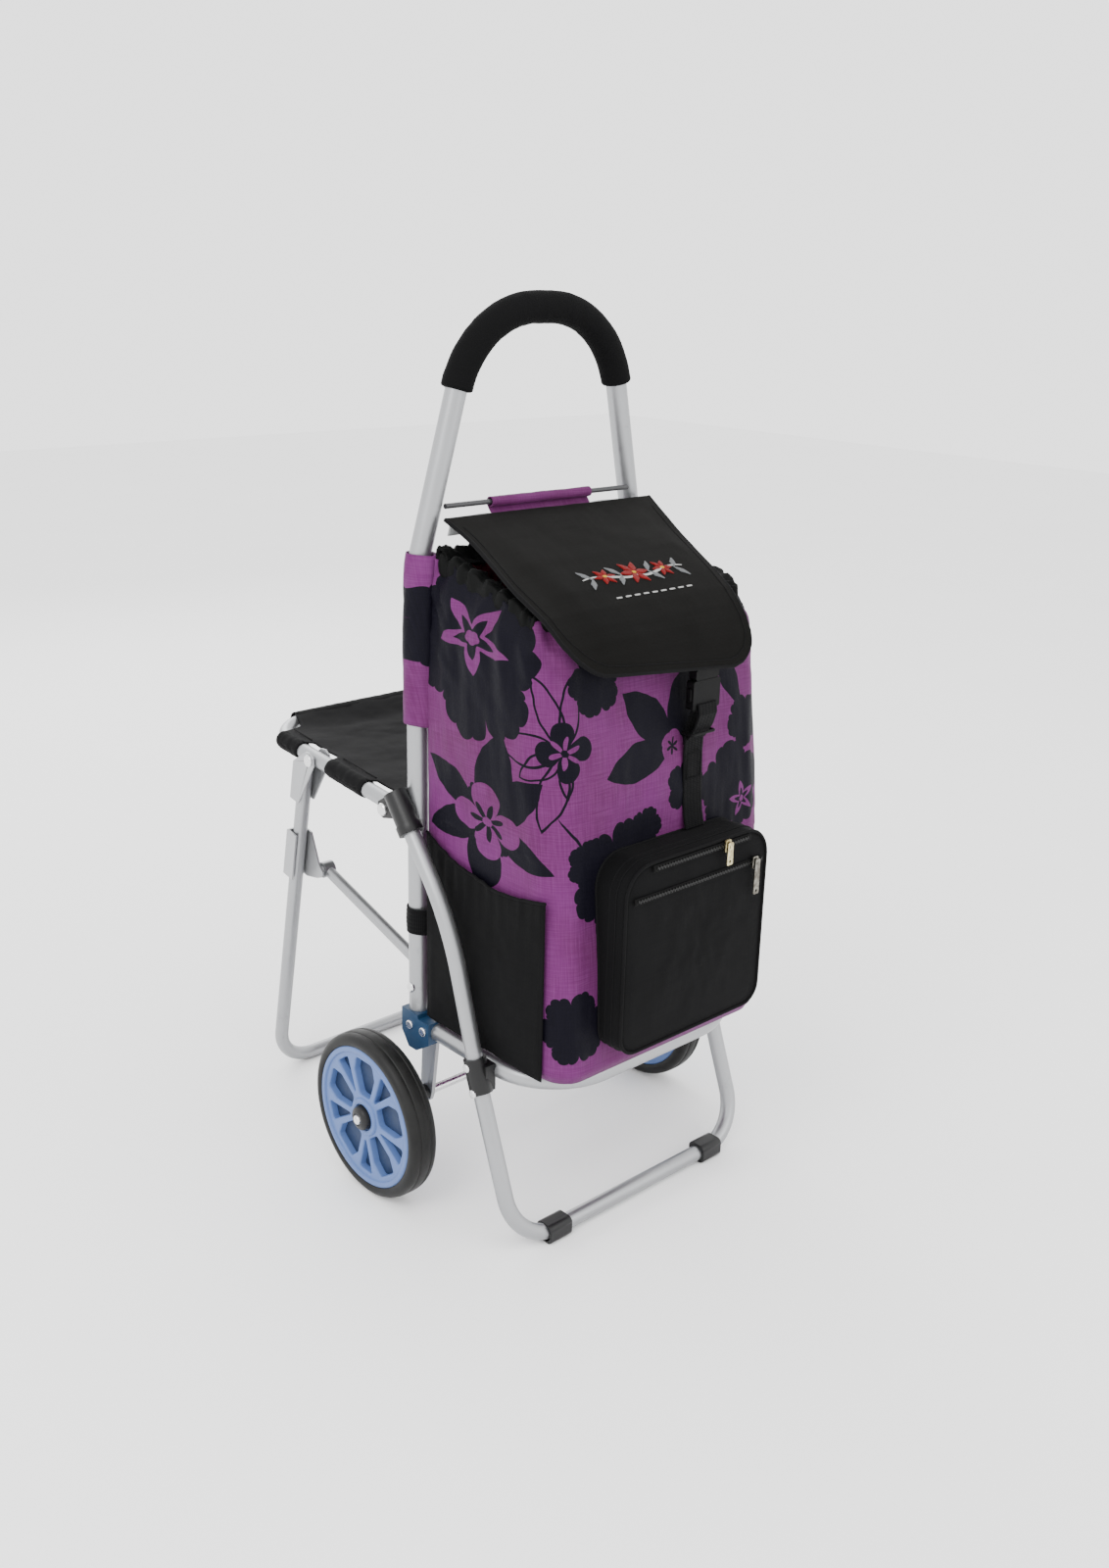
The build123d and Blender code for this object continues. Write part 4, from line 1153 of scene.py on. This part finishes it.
def make_seat(black, bead):
    widths = (
        (12, 126), (44, 128), (46, 137), (108, 137), (112, 126),
        (157, 126), (160, 137), (196, 137), (206, 110), (SEAT_RUN, 100),
    )
    top = SEAT_TUBE_R + 1.6

    def panel(u, v):
        s = mix(13, SEAT_RUN, v)
        half = along(widths, s)
        x = (2 * u - 1) * half
        sag = (1 - (x / UPRIGHT_X) ** 2) * (1 - smooth(SEAT_RUN - 40, SEAT_RUN, s))
        sag *= 0.75 + 0.25 * math.sin(math.pi * v)
        drawn = math.sin(s * 0.11 + 2) * 0.8 * smooth(60, UPRIGHT_X, abs(x)) * (1 - smooth(120, 137, abs(x)))
        soft = ripple(x * 0.018, s * 0.03, 50.0) * 1.4 * (1 - (x / UPRIGHT_X) ** 2)
        return on_seat(x, s, top - 10.5 * max(sag, 0) + drawn + soft)

    sling = grid("seat_sling", 90, 96, panel, black, uv=lambda u, v: (u * 0.28, v * 0.22))
    thicken(sling, 1.6)
    sling = bake(sling)
    finish_piece(sling, "seat", "seat_fabric", "seat_fabric")
    for word, side in SIDES:
        for index, (start, end) in enumerate(((46, 109), (160, 198))):
            def wrap(u, v, start=start, end=end, side=side):
                s = mix(start, end, v)
                a = 2 * math.pi * u
                edge = min(v, 1 - v)
                r = SEAT_TUBE_R + 1.7 + 0.5 * ripple(u * 5, s * 0.12, 60.0 + side)
                r -= 0.7 * (1 - smooth(0, 0.08, edge))
                return on_seat(side * (UPRIGHT_X + r * math.cos(a)), s, r * math.sin(a))
            wrap_name = f"seat_wrap_{index}_{word}"
            tube = grid(wrap_name, 40, 30, wrap, black, uv=lambda u, v: (u * 0.06, v * 0.06), closed=True)
            flip_if(tube, side < 0)
            thicken(tube, 1.0, 1.0)
            finish_piece(bake(tube), "seat", "seat_fabric")
            seam = [on_seat(side * (UPRIGHT_X - 11.5), s, top - 0.6) for s in range(start + 2, end - 1, 3)]
            finish_piece(cord_shape(f"seat_seam_{index}_{word}", seam, 0.5, bead), "seat", "seat_fabric")

    def rear(u, v):
        x = mix(-99, 99, v)
        a = 2 * math.pi * u
        r = SEAT_TUBE_R + 1.7 + 0.5 * ripple(u * 5, x * 0.1, 70.0)
        return on_seat(x, SEAT_RUN + r * math.cos(a), r * math.sin(a))

    tube = grid("seat_wrap_rear", 40, 70, rear, black, uv=lambda u, v: (u * 0.06, v * 0.2), closed=True)
    thicken(tube, 1.0, 1.0)
    finish_piece(bake(tube), "seat", "seat_fabric")


# ---- straps and buckle --------------------------------------------------------------
STRAP_X = (low("bag_strap", 0) + high("bag_strap", 0)) / 2


def ribbon(name, path, half, material, body, slot_name, nodes=(), thickness=1.5):
    """Flat band along a path in (y, z), centred on the strap's X."""
    marks = [0.0]
    for a, b in zip(path, path[1:]):
        marks.append(marks[-1] + math.dist(a, b))

    def point(u, v):
        want = v * marks[-1]
        i = next(k for k in range(1, len(marks)) if want <= marks[k] + 1e-6)
        share = (want - marks[i - 1]) / (marks[i] - marks[i - 1])
        x = STRAP_X + (2 * u - 1) * half
        return at(x, mix(path[i - 1][0], path[i][0], share), mix(path[i - 1][1], path[i][1], share))

    def lay(u, v):
        return (u * half * 2 * MM, v * marks[-1] * MM)

    band = grid(name, 12, 60, point, material, uv=lay)
    thicken(band, thickness, 0.0)
    round_edges(band, 0.3, 1)
    return finish_piece(bake(band), body, slot_name, *nodes)


def make_straps(tape, plastic):
    buckle_y = (low("buckle_female", 1) + high("buckle_female", 1)) / 2
    hanging = [(-198.5, 588), (-203.5, 574), (-206, 563), (buckle_y, 549)]
    ribbon("flap_strap_tape", hanging, 12.5, tape, "flap", "webbing", ["flap_strap"])
    front = [(buckle_y, 517), (-200.5, 508), (-196.5, 496), (-195.5, 470)]
    front += [(-197.5, 430), (-199.5, 412), (-203, 398.5)]
    ribbon("bag_strap_tape", front, 12.5, tape, "frame", "webbing", ["bag_strap"])
    loop = [(buckle_y + 1, 521), (buckle_y - 5.5, 519), (-211, 510), (-207, 498), (-201.5, 489), (-198, 484)]
    ribbon("bag_strap_tail", loop, 12.0, tape, "frame", "webbing")
    keeper = [(-14.5, -194.4), (14.5, -194.4), (14.5, -207.4), (-14.5, -207.4)]
    ring = [at(STRAP_X + x, y, 491) for x, y in rounded(keeper, 2)]
    finish_piece(cord_shape("strap_keeper", ring, 1.4, plastic, closed=True), "frame", "buckle_plastic")
    patch = ((-9, 470), (9, 470), (9, 446), (-9, 446))
    for index, (a, b) in enumerate(zip(patch, patch[1:] + patch[:1])):
        stitches = [at(STRAP_X + mix(a[0], b[0], k / 10), -197.9, mix(a[1], b[1], k / 10)) for k in range(11)]
        finish_piece(cord_shape(f"strap_stitch_{index}", stitches, 0.4, tape), "frame", "webbing")


def make_pullers(brass, dull):
    pullers = (("top", "zip_puller_top", brass, 8.0), ("front", "zip_puller_front", dull, 7.6))
    for word, node, material, width in pullers:
        middle_x = (low(node, 0) + high(node, 0)) / 2
        top_z = high(node, 2)
        length = top_z - low(node, 2)
        face = low(node, 1)
        slider_z = top_z - 5
        outline = rounded([(-4.2, -6), (4.2, -6), (3.4, 6), (-3.4, 6)], 2)
        turn = Matrix(((1, 0, 0), (0, 0, -1), (0, 1, 0))).to_4x4()
        turn.translation = at(middle_x, face + 4.2, slider_z)
        slider = cut_plate("zip_slider_" + word, [outline], 3.0, 0.6, material, turn)
        finish_piece(slider, "puller_" + word, "zip_metal", node)
        tab_half = width / 2
        tab_corners = [(-tab_half, -length + 3), (tab_half, -length + 3)]
        tab_corners += [(tab_half - 0.6, 2), (-tab_half + 0.6, 2)]
        tab = rounded(tab_corners, 1.8)
        hole = circle(1.3, 20, (0, -length + 6.6))
        slot_hole = rounded([(-1.6, -3.4), (1.6, -3.4), (1.6, -0.6), (-1.6, -0.6)], 0.8)
        turn = turn.copy()
        turn.translation = at(middle_x, face + 0.9, top_z - 3)
        piece = cut_plate("zip_tab_" + word, [tab, hole, slot_hole], 1.4, 0.35, material, turn)
        finish_piece(piece, "puller_" + word, "zip_metal")
        arch = []
        for k in range(13):
            arch_y = face + 4.5 - 4.2 * math.sin(math.pi * k / 12)
            arch.append(at(middle_x, arch_y, slider_z + 3.6 - 7.2 * k / 12))
        finish_piece(cord_shape("zip_bridge_" + word, arch, 0.8, material), "puller_" + word, "zip_metal")


# ---- wheels -------------------------------------------------------------------------
AXLE = ((low("axle", 1) + high("axle", 1)) / 2, (low("axle", 2) + high("axle", 2)) / 2)
WHEEL_IN = low("tyre_right", 0)
WHEEL_OUT = high("tyre_right", 0)
SPOKES = 5


def polar(radius, degrees):
    a = math.radians(degrees)
    return (radius * math.cos(a), radius * math.sin(a))


def make_wheel(word, side, light, dark, rubber, plastic, steel):
    body = "wheel_" + word
    middle = (WHEEL_IN + WHEEL_OUT) / 2
    holes = []
    for i in range(SPOKES):
        a = 90 + 72 * i
        wide = [polar(62.5, a - 12), polar(62.5, a + 12), polar(49, a + 19.5)]
        wide += [polar(23.5, a + 20), polar(23.5, a - 20), polar(49, a - 19.5)]
        narrow = [polar(62.5, a + 36 - 9.5), polar(62.5, a + 36 + 9.5)]
        narrow += [polar(27, a + 36 + 2), polar(27, a + 36 - 2)]
        holes.append(rounded(wide, 5))
        holes.append(rounded(narrow, 3))
    turn = Matrix(((0, 0, side), (1, 0, 0), (0, 1, 0))).to_4x4()
    turn.translation = at(side * middle, *AXLE)
    disc = cut_plate("wheel_spokes_" + word, [circle(72.6, 160)] + holes, 25.0, 1.6, light, turn)
    flip_if(disc, side < 0)
    finish_piece(disc, body, "blue_light", "wheel_disc_" + word)

    def ring(name, profile, material, slot_name, nodes=(), count=160):
        piece = turned(name, [(side * x, r) for x, r in profile], material, AXLE, count)
        flip_if(piece, side < 0)
        round_edges(piece, 0.3, 1)
        return finish_piece(bake(piece), body, slot_name, *nodes)

    inner, outer = middle - 5, middle + 5
    # The web ring takes the darker blue passed in as dark, which is painted shade standing in for the shadow
    # in the recessed web.
    web_line = (
        (inner, 20), (inner, 64.5), (outer, 64.5), (outer, 20), (inner, 20),
    )
    ring("wheel_web_" + word, web_line, dark, "blue_dark")
    lip = WHEEL_OUT - 1.5
    lip_line = (
        (lip - 2, 66.5), (lip + 0.8, 67.5), (lip + 1.2, 69),
        (lip + 1.2, 71.5), (lip, 72.9), (lip - 2, 73),
    )
    ring("wheel_lip_" + word, lip_line, light, "blue_light")
    hub_line = (
        (middle, 20.5), (lip - 1, 20), (WHEEL_OUT - 0.4, 18.6), (WHEEL_OUT, 17), (WHEEL_OUT, 14),
        (WHEEL_OUT - 3, 13.4), (WHEEL_OUT - 3, 6),
    )
    ring("wheel_hub_" + word, hub_line, light, "blue_light")
    hub_back_line = (
        (middle, 20), (WHEEL_IN + 0.4, 18.6), (WHEEL_IN, 17), (WHEEL_IN, 5.2), (middle, 5.2),
    )
    ring("wheel_hub_back_" + word, hub_back_line, light, "blue_light")
    crown = [(WHEEL_IN + 2.5, 72.4), (WHEEL_IN + 0.9, 73.2), (WHEEL_IN + 0.1, 75.5), (WHEEL_IN, 78)]
    crown += [(WHEEL_IN + 0.8, 80.6), (WHEEL_IN + 2.6, 82.8), (WHEEL_IN + 5.2, 84.2), (WHEEL_IN + 8.4, 84.8)]
    groove = [(WHEEL_IN + 9.0, 84.2), (WHEEL_IN + 9.8, 84.2), (WHEEL_IN + 10.4, 84.95)]
    half = crown + groove + [(middle, 85.0)]
    mirrored = [(2 * middle - x, r) for x, r in reversed(half[:-1])]
    ring("tyre_tread_" + word, half + mirrored, rubber, "tyre", ["tyre_" + word], 200)
    cap = WHEEL_OUT
    dome_line = (
        (cap - 3, 12.8), (cap + 1, 12.6), (cap + 4.2, 11.8), (cap + 5.6, 10),
        (cap + 6.2, 7.6), (cap + 6.4, 6.8), (cap + 5.6, 6.4), (cap + 5.6, 4.6),
    )
    ring("hub_dome_" + word, dome_line, plastic, "black_plastic", ["hub_cap_" + word], 64)
    nut_line = (
        (cap + 4.8, 4.9), (cap + 7.6, 4.7), (cap + 8.2, 4.0),
        (cap + 8.2, 1.9), (cap + 7.6, 1.6), (cap + 7.6, 0.05),
    )
    ring("hub_nut_" + word, nut_line, steel, "bright_steel", (), 6 * 8)


# ---- handle, sleeves and small soft pieces ------------------------------------------
def bent_path(points, radius, step=4.0):
    """Points of a line with its inner corners turned into arcs."""
    pts = [Vector(p) for p in points]
    out = [pts[0]]
    for before, here, after in zip(pts, pts[1:], pts[2:]):
        a = (before - here).normalized()
        b = (after - here).normalized()
        half = a.angle(b) / 2
        reach = radius / math.tan(half)
        middle = here + (a + b).normalized() * (radius / math.sin(half))
        start = here + a * reach - middle
        end = here + b * reach - middle
        count = max(int(radius * (math.pi - 2 * half) / step), 4)
        out += [middle + start.slerp(end, k / count).normalized() * radius for k in range(count + 1)]
    out.append(pts[-1])
    return out


def spaced(points, count):
    marks = [0.0]
    for a, b in zip(points, points[1:]):
        marks.append(marks[-1] + (b - a).length)
    out = []
    for k in range(count + 1):
        want = marks[-1] * k / count
        i = next(j for j in range(1, len(marks)) if want <= marks[j] + 1e-6)
        out.append(points[i - 1].lerp(points[i], (want - marks[i - 1]) / (marks[i] - marks[i - 1])))
    return out


def make_grip(foam):
    corner = (81.0, -11.0, 850.5)
    foot = (137.0, 0.0, 625.0)
    mirrored = [(-x, y, z) for x, y, z in (corner, foot)]
    above = low("foam_grip", 2) + 3.5
    line = bent_path([foot, corner] + mirrored, 92.0, 1.0)
    line = spaced([p for p in line if p.z > above], 150)
    side_way = Vector((0, 1, 0))

    def point(u, v):
        spot = v * 150
        i = min(int(spot), 149)
        here = line[i].lerp(line[i + 1], spot - i)
        run = (line[min(i + 2, 150)] - line[max(i - 1, 0)]).normalized()
        other = run.cross(side_way).normalized()
        across = other.cross(run).normalized()
        edge = min(v, 1 - v) * 380
        r = mix(11.4, 14.4, math.sqrt(clamp(edge / 3.2)))
        r += 0.35 * ripple(u * 4, v * 26, 80.0) * clamp(edge / 3)
        if edge == 0:
            r = 10.1
        a = 2 * math.pi * u
        spot = here + other * r * math.cos(a) + across * r * math.sin(a)
        return at(*spot)

    grip = grid("foam_grip_sleeve", 48, 300, point, foam, uv=lambda u, v: (u * 0.09, v * 0.38), closed=True)
    finish_piece(grip, "frame", "foam", "foam_grip")


def make_sleeves(cloth_mat, tape, silver):
    for word, side in SIDES:
        first = word == "left"
        z0, z1 = low("bag_sleeves", 2), high("bag_sleeves", 2) + 34

        def sleeve(u, v, side=side):
            a = 2 * math.pi * u
            z = mix(z0, z1, v) + 1.5 * math.sin(a * 2 + side) * (0.5 - abs(v - 0.5))
            r = 11.9 + 0.9 * ripple(math.cos(a) * 0.9, z * 0.025 + math.sin(a), 90.0 + side)
            back = max(-math.sin(a), 0.0)
            lean = max(z - 606.6, 0) ** 2 / 300
            return at(side * (UPRIGHT_X - lean) + r * math.cos(a), r * math.sin(a) - 9.0 * back ** 2, z)

        def lay(u, v, side=side):
            spot = side_uv(-10 + 26 * math.cos(2 * math.pi * (u - 0.5)) * 0.5, mix(z0, z1, v))
            return (-side * spot[0] * MM, spot[1] * MM)

        tube = grid("bag_sleeve_" + word, 48, 50, sleeve, cloth_mat, uv=lay, closed=True)
        flip_if(tube, True)
        thicken(tube, 1.0, -1.0)
        finish_piece(bake(tube), "frame", "print_fabric", *(["bag_sleeves"] if first else []))
        e0, e1 = low("elastic_straps", 2), high("elastic_straps", 2)

        def elastic(u, v, side=side):
            a = 2 * math.pi * u
            r = 10.9 + 0.5 * math.sin(v * math.pi) + 0.15 * math.sin(v * 40)
            back = max(-math.sin(a), 0.0)
            return at(side * UPRIGHT_X + r * math.cos(a), r * math.sin(a) - 3.6 * back ** 3, mix(e0, e1, v))

        loop_name = "elastic_loop_" + word
        band = grid(loop_name, 48, 30, elastic, tape, uv=lambda u, v: (v * 0.026, u * 0.08), closed=True)
        flip_if(band, True)
        thicken(band, 0.8, -1.0)
        finish_piece(bake(band), "frame", "webbing", *(["elastic_straps"] if first else []))

        def strip(u, v, side=side):
            x = side * mix(60, 114 - 4 * v, u)
            return at(x, -15.5 - 1.0 * math.sin(math.pi * u), mix(656, 671, v) + 1.0 * math.sin(u * 5))

        rear_tape = grid("rear_facing_" + word, 24, 8, strip, silver, uv=lambda u, v: (u * 0.05, v * 0.015))
        thicken(rear_tape, 0.8, 0.0)
        finish_piece(bake(rear_tape), "frame", "webbing")
    rod_y = (low("hem_rod", 1) + high("hem_rod", 1)) / 2
    rod_z = (low("hem_rod", 2) + high("hem_rod", 2)) / 2
    half = high("rod_hem", 0)

    def hem(u, v):
        x = mix(-half, half, u)
        wave = 0.6 * ripple(x * 0.06, v * 4, 95.0)
        around = 1.55 * math.pi
        if v < 0.55:
            a = math.pi * 1.5 - v / 0.55 * around
            r = 4.2 + wave * 0.5
            return at(x, rod_y + r * math.cos(a), rod_z + r * math.sin(a))
        a = math.pi * 1.5 - around
        k = (v - 0.55) / 0.45
        y = mix(rod_y + 4.2 * math.cos(a), BAG_REAR - 0.5, smooth(0, 0.35, k))
        return at(x, y + wave, mix(rod_z + 4.2 * math.sin(a), 641, k))

    def lay(u, v):
        return (mix(-half, half, u) * MM * 1.0 - 0.40, (620 + v * 60) * MM)

    panel = grid("rod_hem_cloth", 60, 40, hem, cloth_mat, uv=lay)
    thicken(panel, 1.0, 0.0)
    panel = bake(panel)
    finish_piece(panel, "frame", "print_fabric", "rod_hem")


# ---- CAD nodes that keep their own shape --------------------------------------------
def dress_cad(finishes):
    """Gives every CAD node that still shows its procedural finish, and softens the edges of those in the
    plastic, blue bracket, bracket steel and board slots.
    """
    soft = {
        "black_plastic": 0.9,
        "buckle_plastic": 0.9,
        "blue_dark": 1.2,
        "bracket_steel": 0.35,
        "board": 0.5,
    }
    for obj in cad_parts.values():
        if obj.hide_render:
            continue
        slot_name = obj.data.materials[0].name.split(".")[0]
        for index, old in enumerate(obj.data.materials):
            obj.data.materials[index] = finishes[old.name.split(".")[0]]
        if slot_name in soft:
            weld_mod = obj.modifiers.new("weld", "WELD")
            weld_mod.merge_threshold = 0.00001
            round_edges(obj, soft[slot_name], 2, 40)


def main():
    fabric = printed_cloth("print_fabric")
    black = cloth("black_polyester", (0.0014, 0.0014, 0.0016), (0.0038, 0.0038, 0.0041), 0.72)
    canvas = cloth("flap_canvas", (0.0016, 0.0015, 0.0013), (0.0048, 0.0046, 0.0042), 0.8, 0.0013)
    seat_cloth = cloth("seat_cloth", (0.0022, 0.0022, 0.0025), (0.0060, 0.0060, 0.0064), 0.7, 0.0012)
    collar_cloth = cloth("collar_fabric", (0.0014, 0.0015, 0.0015), (0.0045, 0.0048, 0.0046), 0.5, 0.0008)
    lining = cloth("burgundy_lining", (0.050, 0.006, 0.012), (0.080, 0.010, 0.020), 0.6, 0.0009)
    silver = cloth("silver_facing", (0.30, 0.31, 0.31), (0.42, 0.43, 0.43), 0.5, 0.0009)
    tape = webbing_tape()
    piping = cloth("piping_tape", (0.0018, 0.0018, 0.0020), (0.0055, 0.0055, 0.0058), 0.72, 0.0007)
    teeth = moulded("zip_nylon", (0.003, 0.003, 0.003), (0.009, 0.009, 0.009), 0.4)
    zip_tape = cloth("zip_tape", (0.0020, 0.0020, 0.0020), (0.0055, 0.0055, 0.0055), 0.75, 0.0007)
    plastic = moulded("black_moulding", (0.0025, 0.0025, 0.0028), (0.007, 0.007, 0.0075), 0.38)
    buckle = moulded("buckle_moulding", (0.001, 0.001, 0.0011), (0.0028, 0.0028, 0.003), 0.52, gloss=0.1)
    blue = moulded("blue_moulding", (0.068, 0.120, 0.290), (0.085, 0.145, 0.330), 0.42)
    # Darker blue for the recessed wheel web: painted shade for the recess, not a different moulding colour.
    blue_web_painted_shade = moulded("blue_web_painted_shade_moulding", (0.010, 0.022, 0.058), (0.016, 0.032, 0.078), 0.55)
    bracket_blue = moulded("bracket_blue", (0.006, 0.026, 0.062), (0.012, 0.042, 0.092), 0.38)
    board = moulded("board_fibre", (0.012, 0.012, 0.013), (0.03, 0.03, 0.03), 0.7)
    steel = bright_steel()
    rubber = tyre_rubber()
    foam = foam_skin()
    brass = worn_metal("worn_brass", (0.30, 0.25, 0.12), (0.58, 0.52, 0.32))
    nickel = worn_metal("worn_nickel", (0.10, 0.09, 0.075), (0.24, 0.23, 0.20))
    threads = (thread("thread_red", (0.150, 0.0010, 0.0010)), thread("thread_white", (0.36, 0.36, 0.35)),
               thread("thread_yellow", (0.44, 0.28, 0.01)), thread("thread_grey", (0.12, 0.125, 0.13)))

    make_bag(fabric)
    make_collar(collar_cloth, lining)
    make_side_pockets(black, piping)
    make_front_pocket(black, piping, teeth, zip_tape)
    make_flap(canvas, piping, threads)
    make_seat(seat_cloth, piping)
    make_straps(tape, buckle)
    make_pullers(brass, nickel)
    make_grip(foam)
    make_sleeves(fabric, tape, silver)
    for word, side in SIDES:
        make_wheel(word, side, blue, blue_web_painted_shade, rubber, plastic, steel)
    dress_cad({
        "tube": tube_metal(), "bracket_steel": sheet_metal(), "bright_steel": steel,
        "black_plastic": plastic, "buckle_plastic": buckle, "dark_rod": dark_paint(),
        "blue_dark": bracket_blue, "blue_light": blue, "board": board, "tyre": rubber,
        "foam": foam, "print_fabric": fabric, "black_fabric": black, "seat_fabric": seat_cloth,
        "webbing": tape, "zip": zip_tape, "zip_metal": brass,
    })
    make_studio()
    make_camera()


main()
